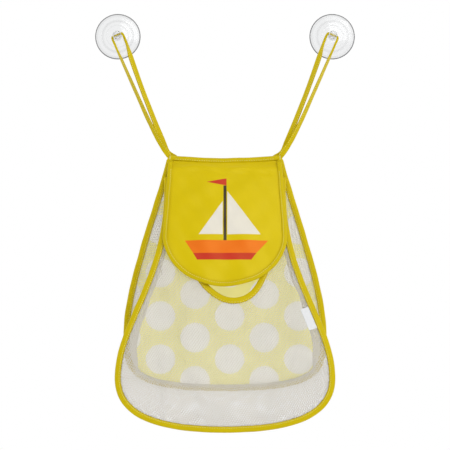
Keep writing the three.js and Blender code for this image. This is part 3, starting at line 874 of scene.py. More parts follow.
@dataclass
class Binding:
    """A tape folded over a cloth's edge and sewn through, with a row of stitches on each side.

    Along the seam it sways and puckers in waves, and its two sides are crowned. Over the still length
    at each end it is flat and unsewn.
    """

    name: str
    seam: Seam
    front: float
    rear: float
    seed: int
    body: Body = Body.BAG
    width: float = SEWING.width
    still: float = 1.0
    sway: float = 0.3
    sways: tuple[float, ...] = (31.0, 53.0, 97.0)
    pucker: float = 0.12
    puckers: tuple[float, ...] = (5.3, 7.9, 12.1)
    crown: float = 0.45
    groove: float = 0.22
    groove_half: float = 0.8
    pinch: float = 0.45
    stitch_inset: float = 1.7
    stitch_sink: float = 0.6
    steps: int = 9

    @property
    def half(self) -> float:
        """Half the folded tape's thickness."""
        return (self.front + self.rear) / 2

    def swell(self, inset: Array | float) -> Array | float:
        """How far the crown lifts the tape, so far in from its inner edge."""
        return self.crown * np.sin(np.pi * inset / (self.width - self.half))

    def section(self) -> tuple[Array, Array, Array, Array]:
        """The folded tape's outline: along its front, round the fold, along its rear, and back inside.

        Returns:
            How far in from the fold each point is, how far in front of the sheet, how far its crown
            lifts it, and how far the stitches draw it in.
        """
        middle, half = (self.front - self.rear) / 2, self.half
        inner = half - SEWING.tape
        turn = np.linspace(np.pi / 2, -np.pi / 2, self.steps)
        side = np.linspace(self.width, half, self.steps, endpoint=False)
        back, flat, plain = np.array([self.width, half]), np.ones(self.steps), np.zeros(self.steps + 4)
        inward = np.concatenate([
            side, half * (1 - np.cos(turn)), side[::-1],
            back, half - inner * np.cos(turn[::-1]), back[::-1]])
        forward = np.concatenate([
            self.front * flat, middle + half * np.sin(turn), -self.rear * flat,
            np.full(2, middle - inner), middle + inner * np.sin(turn[::-1]), np.full(2, middle + inner)])
        inset = self.width - side
        swell, pulled = (
            np.concatenate([face, 0 * flat, -face[::-1], plain])
            for face in (self.swell(inset), -bell(inset - self.stitch_inset, self.groove_half)))
        return inward, forward, swell, pulled

    def uneven(self, along: Array) -> tuple[Array, Array]:
        """How far the tape sways inwards and puckers forwards, as two columns."""
        sway, pucker = waves(along, self.sways, self.seed), waves(along, self.puckers, self.seed + 1)
        return self.sway * sway[:, None], self.pucker * pucker[:, None]

    def build(self) -> list[Piece]:
        """Makes the tape and its stitches.

        Returns:
            The tape and the two rows of stitches.
        """
        along = self.seam.along
        inward, forward, swell, pulled = self.section()
        sway, pucker = self.uneven(along)
        pinch = self.groove * (1 + self.pinch * np.cos(2 * np.pi * along / STITCH.pitch))
        fullness = smooth(0.0, self.still, np.minimum(along, along[-1] - along))
        worked = fullness[:, None] * (swell + pucker + pinch[:, None] * pulled)
        tape = swept_piece(f"{self.name}_tape", self.seam.point(inward + sway, forward + worked), along)
        return [dress(tape, Slot.TAPE, self.body, self.name), *self.stitches()]

    def stitches(self) -> list[Piece]:
        """The rows of stitches on the tape's front and rear.

        Returns:
            The two rows.
        """
        end = self.seam.along[-1] - max(STITCH.pitch / 2, self.still)
        spots = np.arange(max(STITCH.pitch, self.still), end, STITCH.pitch)
        row = self.seam.resampled(spots)
        sway, pucker = self.uneven(spots)
        direction = unit(np.gradient(row.place, axis=0))
        lift = self.swell(self.stitch_inset) - self.stitch_sink * self.groove
        rows = []
        for side, reach, up in (("front", self.front, 1.0), ("rear", -self.rear, -1.0)):
            place = row.point(self.width - self.stitch_inset + sway, reach + up * lift + pucker)[:, 0]
            made = STITCH.piece(f"{self.name}_{side}_stitches", place, direction, up * row.front)
            rows.append(dress(made, Slot.THREAD, self.body))
        return rows


@dataclass(frozen=True)
class NetGauge:
    """A knitted net of six-sided holes and short bars, in staggered rows that fall to the right."""

    pitch: float = 3.1
    row: float = 2.5
    bar: float = 0.42
    strand: float = 0.72
    thickness: float = 0.5
    fall: float = 0.2

    @staticmethod
    def count(low: float, high: float, pitch: float) -> Array:
        """Whole steps over a reach, with two more at each end."""
        return np.arange(math.floor(low / pitch) - 2, math.ceil(high / pitch) + 3)

    def mesh(self, name: str, reach: tuple[float, float, float, float],
             inside: Callable[[Array, Array], Array],
             place: Callable[[Array, Array, Array], Array]) -> Piece:
        """Strands with a three-sided section: a flat side within, and a ridge along the outside.

        Every hole has six corners on the flat side. The ridge joins the net's own corners, two to
        each hole: one over its top and one under its base.

        Args:
            name: The piece's name.
            reach: The lowest and highest place across, then the lowest and highest along.
            inside: Whether a hole's middle is on the cloth.
            place: The point in the frame for a flat place and a height over the cloth.

        Returns:
            The object.
        """
        left, right, low, high = reach
        columns = self.count(left, right, self.pitch)
        rows = self.count(low + self.fall * left, high + self.fall * right, self.row)
        odd = (rows % 2)[:, None]
        u = (columns[None] + 0.5 * odd) * self.pitch
        v = np.repeat(rows[:, None] * self.row, columns.size, axis=1)
        shown = inside(u, v - self.fall * u)
        shown[:2], shown[-2:], shown[:, :2], shown[:, -2:] = False, False, False, False

        top = self.row - self.bar
        slope = (top - self.bar) / (self.pitch / 2)
        crown = top - self.strand / 2 * math.hypot(1.0, slope)
        half = self.pitch / 2 - self.strand / 2
        shoulder = crown - slope * half
        corner_u = np.array([0, half, half, 0, -half, -half])
        corner_v = np.array([crown, shoulder, -shoulder, -crown, -shoulder, shoulder])
        cells = u.size
        flat_u = np.concatenate([u.ravel(), u.ravel(), (u[..., None] + corner_u).ravel()])
        flat_v = np.concatenate([(v + top).ravel(), (v - top).ravel(), (v[..., None] + corner_v).ravel()])
        lift = np.repeat([self.thickness / 2, -self.thickness / 2], [2 * cells, 6 * cells])

        cell = np.arange(cells).reshape(u.shape)
        j, i = np.argwhere(shown).T
        lean = odd[j, 0]
        around = {
            "here": (j, i), "right": (j, i + 1),
            "upper_right": (j + 1, i + lean), "upper_left": (j + 1, i - 1 + lean),
            "lower_right": (j - 1, i + lean), "lower_left": (j - 1, i - 1 + lean),
        }
        near = {key: cell[where] for key, where in around.items()}
        on = {key: shown[where] for key, where in around.items()}

        def hole(key: str, corner: int) -> Array:
            """The points at one corner of the holes on one side."""
            return 2 * cells + 6 * near[key] + corner

        ridge = [
            near["here"], cells + near["upper_right"], near["lower_right"],
            cells + near["here"], near["lower_left"], cells + near["upper_left"]]
        walls = np.concatenate([
            joined(hole("here", (k + 1) % 6), hole("here", k), ridge[k], ridge[(k + 1) % 6])
            for k in range(6)])
        ribbons = np.concatenate([
            joined(hole("here", a), hole("here", b), hole(key, c), hole(key, d))[on[key]]
            for key, a, b, c, d in (
                ("upper_right", 0, 1, 3, 4), ("right", 1, 2, 4, 5), ("lower_right", 2, 3, 5, 0))])
        knots = np.concatenate([
            joined(hole("here", a), hole(p, b), hole(q, c))[on[p] & on[q]]
            for p, q, a, b, c in (
                ("upper_right", "upper_left", 0, 4, 2), ("lower_left", "lower_right", 3, 1, 5))])

        blocks = (walls, ribbons, knots)
        used, compact = np.unique(np.concatenate([block.ravel() for block in blocks]), return_inverse=True)
        parts = np.split(compact, np.cumsum([block.size for block in blocks])[:-1])
        faces = [part.reshape(block.shape) for part, block in zip(parts, blocks)]
        points = place(flat_u[used], (flat_v - self.fall * flat_u)[used], lift[used])
        return new_piece(name, points, facing_out(points, faces))


GAUGE = NetGauge()


def bell_outline(top: tuple[float, float], hip: tuple[float, float], base: float,
                 waist: tuple[float, float], rise: float, heel: float, flat: float) -> EdgePath:
    """A bell's edge from the top left round the base to the top right, as two curves to each half.

    Args:
        top: Half the width at the top, and how far under the bag's top that is.
        hip: Half the greatest width, and how far down that is.
        base: How far down the lowest place is.
        waist: Where the side's upper handle is.
        rise: How far over the hip the side's lower handle is.
        heel: How far under the hip the corner's first handle is.
        flat: How far out from the middle the corner's second handle is.

    Returns:
        The edge.
    """
    (wide, drop), (top_wide, top_drop), (waist_wide, waist_drop) = hip, top, waist
    side = bezier((top_wide, top_drop), (waist_wide, waist_drop), (wide, drop - rise), (wide, drop))
    corner = bezier((wide, drop), (wide, drop + heel), (flat, base), (0.0, base))
    half = np.concatenate([side, corner])
    half[:, 1] = TOP_Z - half[:, 1]
    flipped = half * np.array([-1.0, 1.0])
    return EdgePath(np.concatenate([flipped, [[0.0, TOP_Z - base]], half[::-1]]))


# Sub-assemblies


@dataclass
class SuctionCups:
    """Two clear cups: a dome with two raised rings, a neck, and a head with a side hole."""

    spacing: float = 283.0
    radius: float = 30.0
    lip: float = 2.5
    rim: float = 1.6
    hollow: float = 5.0
    crown: float = 9.0
    ring: float = 21.0
    hub: float = 14.0
    step: float = 0.5
    step_half: float = 0.5
    level: float = 0.4
    neck: float = 4.6
    neck_length: float = 1.5
    neck_round: float = 1.2
    head: float = 5.6
    head_length: float = 13.0
    head_round: float = 1.6
    throat: float = 2.58
    flare: float = 2.5
    shoulder: float = 1.0
    segments: int = 128
    hole_segments: int = 48
    hollow_steps: int = 14
    rim_steps: int = 9
    dome_steps: int = 60
    round_steps: int = 6
    hole_steps: int = 17
    sharp: float = math.radians(40)

    @property
    def eye(self) -> float:
        """How far the side hole is in front of the wall."""
        return self.crown + self.neck_length + self.head_length / 2

    def lathe(self, name: str, profile: Array, segments: int) -> Piece:
        """A body of revolution about Y, from its radii and its depths in front of the wall.

        Args:
            name: The object's name.
            profile: Radius and depth of each ring, with both ends on the axis.
            segments: Points round a ring.

        Returns:
            The object.
        """
        turn = np.linspace(0.0, 2 * np.pi, segments, endpoint=False)
        radius, depth = profile[1:-1, :1], profile[1:-1, 1:]
        rings = joined(radius * np.cos(turn), -depth, radius * np.sin(turn)).reshape(-1, 3)
        points = np.concatenate([rings, joined(0.0, -profile[[0, -1], 1], 0.0)])
        first = np.arange(segments)
        last = first + (len(radius) - 1) * segments
        start = joined(len(rings), np.roll(first, -1), first)
        stop = joined(len(rings) + 1, last, np.roll(last, -1))
        quads = grid_quads(len(radius), segments, wrap=True)
        return new_piece(name, points, facing_out(points, [quads, start, stop]))

    def profile(self) -> Array:
        """The cup's half section: its hollow, lip, rim, stepped dome, neck and rounded head.

        Returns:
            Radii and depths, from the hollow's middle to the head's.
        """
        t = np.linspace(0.0, 1.0, self.hollow_steps)
        hollow = joined(
            2 * t * (1 - t) * self.hub + t * t * (self.radius - self.lip),
            self.hollow * ((1 - t) ** 2 + 2 * t * (1 - t)))
        turn = np.linspace(-np.pi / 2, np.pi / 2, self.rim_steps)
        bead = joined(self.radius + self.rim / 2 * (np.cos(turn) - 1), self.rim / 2 * (1 + np.sin(turn)))
        fillet = self.neck_round
        out = np.linspace(self.radius - fillet, self.neck + fillet, self.dome_steps)
        dome = self.rim + (self.crown - self.rim) * (1 - (out / self.radius) ** 2)
        for edge in (self.ring, self.hub):
            dome += self.step * smooth(edge + self.step_half, edge - self.step_half, out)
        dome = np.minimum(dome, self.crown + self.level)
        turn = np.linspace(0.0, np.pi / 2, self.round_steps)
        sine, cosine = np.sin(turn), np.cos(turn)
        foot = joined(self.neck + fillet * (1 - sine), dome[-1] + fillet * (1 - cosine))
        base = self.crown + self.neck_length
        under = joined(
            self.neck + (self.head - self.neck) * sine, base + self.shoulder - self.shoulder * cosine)
        top = base + self.head_length
        cap = joined(self.head - self.head_round * (1 - cosine), top - self.head_round * (1 - sine))
        return np.concatenate([hollow, bead, joined(out, dome), foot[1:], under, cap, [[0.0, top]]])

    def bored(self, name: str, tilt: float, offset: float) -> Piece:
        """A cup with the flared side hole cut through its head, turned and moved into place.

        Args:
            name: The piece's name.
            tilt: How far the hole is turned about the cup's axis.
            offset: The cup's place across.

        Returns:
            The object.
        """
        cup = self.lathe(name, self.profile(), self.segments)
        reach = self.head + self.flare
        along = np.linspace(-reach, reach, self.hole_steps)
        wall = joined(self.throat + self.flare * (along / self.head) ** 2, along)
        closed = np.concatenate([[[0.0, -reach]], wall, [[0.0, reach]]])
        tool = self.lathe(f"{name}_hole", closed, self.hole_segments)
        across = np.array([[0.0, -1.0, 0.0], [1.0, 0.0, 0.0], [0.0, 0.0, 1.0]])
        self.move(tool, across, np.array([0.0, -self.eye, 0.0]))
        cut = cup.modifiers.new("hole", "BOOLEAN")
        cut.object, cut.operation, cut.solver = tool, "DIFFERENCE", "EXACT"
        solid = bpy.data.meshes.new_from_object(cup.evaluated_get(bpy.context.evaluated_depsgraph_get()))
        cup.modifiers.clear()
        cup.data = solid
        bpy.data.objects.remove(tool)
        c, s = math.cos(tilt), math.sin(tilt)
        self.move(cup, np.array([[c, 0.0, -s], [0.0, 1.0, 0.0], [s, 0.0, c]]), np.array([offset, 0.0, 0.0]))
        cup.data.set_sharp_from_angle(angle=self.sharp)
        return cup

    @staticmethod
    def move(piece: Piece, turn: Array, offset: Array) -> None:
        """Turns and moves a piece's points, with the offset in millimetres.

        Args:
            piece: The piece.
            turn: The turn's matrix.
            offset: How far it moves.
        """
        points = np.empty(len(piece.data.vertices) * 3, np.float32)
        piece.data.vertices.foreach_get("co", points)
        moved = points.reshape(-1, 3) @ turn.T + offset * MM
        piece.data.vertices.foreach_set("co", moved.astype(np.float32).ravel())
        piece.data.update()

    def build(self, tilt: float) -> None:
        """Makes both cups.

        Args:
            tilt: The side holes' turn, mirrored on the right.
        """
        for name, side in SIDES:
            offset = side * self.spacing / 2
            cup = self.bored(f"{name}_cup", -side * tilt, offset)
            finish = PvcFinish(f"clear_pvc_{name}", offset).material()
            dress(cup, Slot.PVC, Body.CUPS, f"{name}_suction_cup", finish)


@dataclass
class StrapLoops:
    """Two loops of folded tape from the bag's corners through the cups' heads.

    Each stop of a leg has its share of the way down the strap, its place across it in half widths
    of the loop, its share of the way from the head's depth to the corner's, how far the tape is
    turned to face the front, and how bunched it is.
    """

    cups: SuctionCups
    width: float = 8.0
    thickness: float = 1.2
    bunch_width: float = 1.9
    bunch_thickness: float = 2.9
    ease: float = 0.55
    lap: float = 7.0
    head_stop: float = 0.85
    steps: int = 24
    stitch_place: float = -0.58
    stitch_height: float = 0.75
    stitch_groove: float = 0.3
    groove_half: float = 0.14
    open_edge: float = -0.94
    fold_edge: float = 0.9
    fold_round: float = 0.1
    slit_place: float = -0.9
    slit_half: float = 0.6
    side_steps: int = 14
    fold_steps: int = 7
    tack_width: float = 1.6
    tack_over: float = 0.8
    tack_inset: float = 2.4
    tack_sink: float = 0.08
    tack_slant: float = 0.25
    tack_threads: int = 15

    OUTER = np.array([
        [0.95, -0.3, 0.95, -90, 0], [0.86, -0.7, 0.8, -54, 0], [0.68, -0.97, 0.56, -40, 0],
        [0.44, -1.0, 0.38, -31, 0], [0.2, -1.0, 0.16, -24, 0], [0.07, -1.0, 0.03, -8, 0.8]])
    INNER = np.array([
        [0.07, 0.96, 0.03, 24, 0.8], [0.2, 0.62, 0.2, 50, 0], [0.44, 0.18, 0.56, 46, 0],
        [0.68, -0.08, 0.86, 50, 0], [0.86, -0.24, 1.0, 75, 0], [0.95, -0.24, 1.0, 90, 0]])

    def __post_init__(self) -> None:
        """Finds the left cup's middle, the top binding's end, and the way from one to the other."""
        self.cup = np.array([-self.cups.spacing / 2, 0.0])
        self.corner = np.array([-TOP_HALF - SEWING.gap, TOP_Z - SEWING.width / 2])
        self.line = self.corner - self.cup
        self.tilt = math.atan2(self.line[0], -self.line[1])

    def leg(self, stops: Array, depth: float) -> Array:
        """Places a leg's stops.

        Args:
            stops: The stops.
            depth: How far in front of the wall the leg ends.

        Returns:
            For each stop its x, y and z, its turn, its bunching, and 0 because it isn't cut square.
        """
        across = np.array([-self.line[1], self.line[0]]) / np.linalg.norm(self.line)
        loop = self.cups.head + self.ease + self.bunch_thickness / 2
        flat = self.cup + stops[:, :1] * self.line + stops[:, 1:2] * loop * across
        y = -(self.cups.eye + (depth - self.cups.eye) * stops[:, 2])
        return joined(flat[:, 0], y, flat[:, 1], stops[:, 3], stops[:, 4], 0.0)

    def route(self) -> Array:
        """The loop's stops, from the corner's front up the outer leg and down the inner one.

        Returns:
            For each stop its x, y and z, its turn, its bunching, and 1 where it is cut square.
        """
        back = REAR_DEPTH - SEWING.half - SEWING.gap - self.thickness / 2
        inside = np.array([[0, place, 0, 0, 1] for place in (-self.head_stop, 0.0, self.head_stop)])
        first = [self.corner[0], -REAR_DEPTH, self.corner[1], -90, 0, 1]
        last = [self.corner[0] + self.lap, -back, self.corner[1], 90, 0, 1]
        up = self.leg(np.concatenate([self.OUTER, inside]), REAR_DEPTH)
        return np.vstack([first, up, self.leg(self.INNER, back), last])

    def section(self) -> tuple[Array, Array]:
        """The tape's outline in half widths and half thicknesses: a fold on one edge, a slit on the other.

        Returns:
            The places across the tape and through it.
        """
        side = np.linspace(self.open_edge, self.fold_edge, self.side_steps)
        groove = 1 - self.stitch_groove * bell(side - self.stitch_place, self.groove_half)
        turn = np.linspace(np.pi / 2, -np.pi / 2, self.fold_steps)[1:-1]
        fold = self.fold_edge + self.fold_round * np.cos(turn)
        slit = self.slit_half
        wide = np.concatenate([side, fold, side[::-1], [-1.0, self.slit_place, -1.0]])
        deep = np.concatenate([groove, np.sin(turn), -groove[::-1], [-slit, 0.0, slit]])
        return wide, deep

    def frames(self) -> tuple[Array, Array, Array, Array, Array]:
        """The left loop's line, and how its tape lies along it.

        Returns:
            Points, the ways across the tape and through it, half its widths and half its thicknesses.
        """
        stops = self.route()
        line = catmull_rom(stops[:, :3], self.steps)
        place = np.linspace(0.0, len(stops) - 1.0, len(line))
        low = np.minimum(place.astype(int), len(stops) - 2)
        share = smooth(0.0, 1.0, place - low)[:, None]
        turn, bunch, square = (stops[low, 3:] * (1 - share) + stops[low + 1, 3:] * share).T[..., None]
        along = unit(np.gradient(line, axis=0))
        depthwise, upright = np.array([0.0, 1.0, 0.0]), np.array([0.0, 0.0, 1.0])
        flatwise = unit(np.cross(along, depthwise))
        flatwise *= np.sign(flatwise[:, 2:3])
        flatwise = unit(flatwise * (1 - square) + upright * square)
        wide = unit(np.cos(np.radians(turn)) * depthwise + np.sin(np.radians(turn)) * flatwise)
        thick = unit(np.cross(along, wide))
        half_width = (self.width + (self.bunch_width - self.width) * bunch) / 2
        half_thickness = (self.thickness + (self.bunch_thickness - self.thickness) * bunch) / 2
        return line, wide, thick, half_width, half_thickness

    def build(self) -> None:
        """Makes both loops, the stitches along them and the bar tacks at their ends."""
        line, wide, thick, half_width, half_thickness = self.frames()
        across, through = self.section()
        rings = (
            line[:, None] + wide[:, None] * (half_width * across)[..., None]
            + thick[:, None] * (half_thickness * through)[..., None])
        along = run_length(line)
        spots = np.arange(STITCH.pitch, along[-1] - STITCH.pitch, STITCH.pitch)
        at, over, up, reach, height = (
            sample(spots, along, part) for part in (line, wide, thick, half_width, half_thickness))
        over, up = unit(over), unit(up)
        direction = unit(np.gradient(at, axis=0))
        for name, side in SIDES:
            mirror = np.array([-side, 1.0, 1.0])
            loop = swept_piece(f"{name}_strap", rings * mirror, along)
            dress(loop, Slot.TAPE, Body.BAG, f"{name}_strap_loop")
            for face, sign in (("outer", 1.0), ("inner", -1.0)):
                place = (
                    at + over * (reach * self.stitch_place) + up * sign * (height * self.stitch_height))
                row = STITCH.piece(
                    f"{name}_strap_{face}_stitches", place * mirror, direction * mirror, sign * up * mirror)
                dress(row, Slot.THREAD, Body.BAG)
            self.tack(name, side)

    def tack(self, name: str, side: float) -> None:
        """A bar tack: close threads across the tape's end.

        Args:
            name: Which loop it is on.
            side: -1 on the left and 1 on the right.
        """
        heights = np.linspace(-1.0, 1.0, self.tack_threads) * (self.width - self.tack_width) / 2
        place = joined(
            side * (TOP_HALF + self.tack_inset), -REAR_DEPTH - SEWING.twin + self.tack_sink,
            TOP_Z - SEWING.width / 2 + heights)
        along = unit(np.tile([1.0, 0.0, self.tack_slant], (self.tack_threads, 1)))
        up = np.tile([0.0, -1.0, 0.0], (self.tack_threads, 1))
        satin = Stitch(length=self.tack_width + self.tack_over, width=0.5, height=0.4, dip=0.15)
        dress(satin.piece(f"{name}_tack", place, along, up), Slot.THREAD, Body.BAG, f"{name}_bar_tack")


@dataclass
class RearPanel:
    """The smooth cloth at the back, its binding, and the tape over the top edge."""

    corner: float = 7.5
    hip_half: float = 134.0
    hip_drop: float = 238.0
    drop: float = 310.5
    fill: float = 0.81
    top_inset: float = 1.0
    ripple: float = 1.1
    ripple_slant: float = 0.25
    ripple_lengths: tuple[float, ...] = (83.0, 57.0)
    cross: float = 0.6
    cross_slant: float = 0.3
    cross_lengths: tuple[float, ...] = (120.0, 71.0)
    calm_side: float = 30.0
    calm_top: tuple[float, float] = (8.0, 50.0)
    sag_fall: float = 60.0
    turn_in: float = 2.6
    turn_drop: float = 1.6
    turn_reach: float = 4.5
    turn_steps: int = 24
    top_tape: float = 5.8
    top_lap: float = 3.0
    still: float = 9.0
    rows: int = 150
    columns: int = 120

    def __post_init__(self) -> None:
        """Lays out the surface and the edge."""
        self.surface = ClothSurface(lambda x, z: np.full_like(x, REAR_DEPTH))
        self.path = bell_outline(
            (TOP_HALF + self.corner, TOP_Z - SEAM_Z), (self.hip_half, self.hip_drop), self.drop,
            waist=(95.0, 75.0), rise=65.0, heel=50.0, flat=125.0)

    def bound_edge(self) -> EdgePath:
        """The panel's edge with both ends carried on and turned in under the strap loops.

        Returns:
            The edge.
        """
        start, ahead = self.path.points[0], self.path.tangent(np.array([0.0]))[0]
        t = np.linspace(0.0, 1.0, self.turn_steps, endpoint=False)[:, None]
        tip = np.array([-TOP_HALF - self.turn_in, TOP_Z - self.turn_drop])
        handle = start - self.turn_reach * ahead
        left = (1 - t) ** 2 * tip + 2 * t * (1 - t) * handle + t * t * start
        return EdgePath(np.concatenate([left, self.path.points, left[::-1] * np.array([-1.0, 1.0])]))

    def top_edge(self) -> EdgePath:
        """The top edge, a parabola that sags at its middle and laps over the strap loops' ends."""
        x = np.linspace(-TOP_HALF - self.top_lap, TOP_HALF + self.top_lap, CURVE_STEPS)
        return EdgePath(joined(x, TOP_Z - TOP_SAG * (1 - (x / TOP_HALF) ** 2)))

    def cloth(self) -> Piece:
        """The panel: level rows as wide as its outline, rippled a little in depth.

        Returns:
            The object.
        """
        edge = self.path.at(np.linspace(0.0, 0.5, self.rows))[:-2]
        half = -edge[:, 0] - SEWING.tuck
        kept = joined(half, edge[:, 1])[half > SEWING.tuck]
        outline = np.concatenate([[[TOP_HALF - self.top_inset, TOP_Z - SEWING.tuck]], kept])
        half, level = outline[:, :1], outline[:, 1:]
        x = half * np.linspace(-1.0, 1.0, self.columns)
        fall = TOP_Z - level
        z = level - TOP_SAG * (1 - (x / self.hip_half) ** 2) * smooth(self.sag_fall, 0.0, fall)
        calm = smooth(0.0, self.calm_side, half - np.abs(x)) * smooth(*self.calm_top, fall)
        ripple = waves(x + self.ripple_slant * z, self.ripple_lengths, seed=11)
        cross = waves(z - self.cross_slant * x, self.cross_lengths, seed=12)
        y = -REAR_DEPTH - self.ripple * calm * (ripple + self.cross * cross)
        return sheet_piece("rear_cloth", joined(x, y, z), joined(x, z), SEWING.cloth)

    def build(self) -> None:
        """Makes the panel and its two bindings."""
        panel = dress(self.cloth(), Slot.DOTTED, Body.BAG, "rear_panel")
        edge = Binding(
            "rear_binding", Seam.on(self.surface, self.bound_edge()),
            SEWING.twin, SEWING.half, seed=21, still=self.still).build()
        top = Binding(
            "top_binding", Seam.on(self.surface, self.top_edge(), side=-1.0),
            SEWING.twin, SEWING.half, seed=31, width=self.top_tape, still=self.still).build()


@dataclass
class FrontPanel:
    """The net front with its mouth cut out, and the tapes round both edges."""

    top_half: float = 80.5
    hip_half: float = 140.5
    hip_drop: float = 286.0
    drop: float = 355.6
    fill: float = 0.56
    bulge: float = 12.0
    shoulder: float = 21.0
    mouth_drop: float = 185.0
    mouth_shift: float = 12.0
    mouth_side: float = 95.0
    mouth_base: float = 38.0
    fold: float = 2.2
    fold_lengths: tuple[float, ...] = (43.0, 29.0)
    ripple: float = 0.35
    ripple_slant: float = 0.3
    ripple_lengths: tuple[float, ...] = (17.0, 61.0)
    fan: float = 0.0012
    calm: tuple[float, float] = (9.0, 34.0)
    pleat: float = 4.0
    pleat_half: float = 3.0
    pleat_take: float = 2.5
    pleat_lines: tuple[tuple[float, float], ...] = (
        (-88.0, -85.0), (-76.0, -24.0), (78.0, 57.0), (93.0, 95.0))
    sway: float = 0.15

    def __post_init__(self) -> None:
        """Lays out the surface and the edges."""
        self.start_depth = HINGE_DEPTH - (2 * SEWING.half + SEWING.gap) / math.cos(LEAN)
        start = (REAR_DEPTH + 2 * SEWING.web + SEWING.sheet - self.start_depth) / math.tan(LEAN)
        self.top_z, self.mouth_z, self.base_z = SEAM_Z - start, TOP_Z - self.mouth_drop, TOP_Z - self.drop
        self.surface = ClothSurface(self.depth)
        self.path = bell_outline(
            (self.top_half, TOP_Z - self.top_z), (self.hip_half, self.hip_drop), self.drop,
            waist=(72.0, 153.0), rise=73.0, heel=47.0, flat=95.0)
        top, side, middle = self.top_half - self.shoulder, self.top_z - self.mouth_side, self.mouth_shift
        low = (middle, self.mouth_z)
        left = bezier((-top, self.top_z), (-top, side), (middle - self.mouth_base, self.mouth_z), low)
        right = bezier(low, (middle + self.mouth_base, self.mouth_z), (top, side), (top, self.top_z))
        self.mouth = EdgePath(np.concatenate([left, right, [[top, self.top_z]]]))

    def depth(self, x: Array, z: Array) -> Array:
        """A leaning plane down to the mouth's base, then a rounded belly over a flat foot.

        Args:
            x: Places across.
            z: Heights.

        Returns:
            How far the front lies in front of the wall.
        """
        belly = self.mouth_z - self.base_z
        below = np.maximum(0.0, self.mouth_z - z)
        lean = math.tan(LEAN) * (SEAM_Z - z - below**2 / (2 * belly))
        swell = np.sin(np.pi * np.minimum(below / belly, 1.0)) ** 2
        return self.start_depth + lean + self.bulge * swell * (1 - (x / self.hip_half) ** 2)

    def edge_distance(self, x: Array, z: Array) -> Array:
        """How far inside the net places are.

        Args:
            x: Places across.
            z: Heights.

        Returns:
            The distance from the nearer edge, below zero off the net.
        """
        outline = self.path.points[: len(self.path.points) // 2 + 1][::-1]
        width = np.interp(z, outline[:, 1], -outline[:, 0], left=-1.0)
        middle = int(np.argmin(self.mouth.points[:, 1]))
        left, right = self.mouth.points[: middle + 1][::-1], self.mouth.points[middle:]
        in_mouth = (
            (z > self.mouth_z) & (x > np.interp(z, left[:, 1], left[:, 0]))
            & (x < np.interp(z, right[:, 1], right[:, 0])))
        on = (np.abs(x) < width) & ~in_mouth & (z < self.top_z)
        near = np.minimum(self.path.distance(x, z), self.mouth.distance(x, z))
        return np.where(on, near, -near)

    def pleated(self, flat: Array, z: Array) -> tuple[Array, Array]:
        """Gathers the flat net into the pleats that run down from the mouth's sides.

        Args:
            flat: Places across the flat net.
            z: Heights.

        Returns:
            The places across that they come to, and how far the pleats stand out there.
        """
        down = (self.mouth_z - z) / (self.mouth_z - self.base_z)
        x, rise = flat.copy(), np.zeros_like(flat)
        for start, end in self.pleat_lines:
            turn = np.tanh((flat - start - (end - start) * down) / self.pleat_half)
            x -= self.pleat_take * turn
            rise += self.pleat * (1 - turn**2)
        return x, rise

    def net_point(self, flat: Array, z: Array, lift: Array) -> Array:
        """A point of the folded net, lifted off it.

        Args:
            flat: Places across the flat net.
            z: Heights.
            lift: Heights over the net.

        Returns:
            The points. Folds run down from the mouth and fade out at the tapes.
        """
        x, rise = self.pleated(flat, z)
        calm = smooth(*self.calm, self.edge_distance(x, z))
        fan = x * (1 + self.fan * (z - self.mouth_z))
        ripple = waves(fan + self.ripple_slant * z, self.ripple_lengths, seed=42)
        fold = self.fold * (waves(fan, self.fold_lengths, seed=41) + self.ripple * ripple)
        off = (lift + calm * (fold + rise))[:, None]
        return self.surface.point(x, z) + self.surface.normal(x, z) * off

    def inside(self, flat: Array, z: Array) -> Array:
        """Whether a place of the flat net is on it, its tucked edges included."""
        return self.edge_distance(self.pleated(flat, z)[0], z) > SEWING.tuck

    def build(self) -> None:
        """Makes the net and its two bindings."""
        across = self.hip_half + self.pleat_take * len(self.pleat_lines)
        reach = (-across, across, self.base_z, self.top_z)
        panel = GAUGE.mesh("front_net", reach, self.inside, self.net_point)
        dress(panel, Slot.NET, Body.BAG, "front_panel")
        outer = Binding(
            "front_binding", Seam.on(self.surface, self.path),
            SEWING.half, SEWING.twin, seed=51, sway=self.sway).build()
        mouth = Binding(
            "mouth_binding", Seam.on(self.surface, self.mouth, side=-1.0),
            SEWING.half, SEWING.half, seed=61).build()


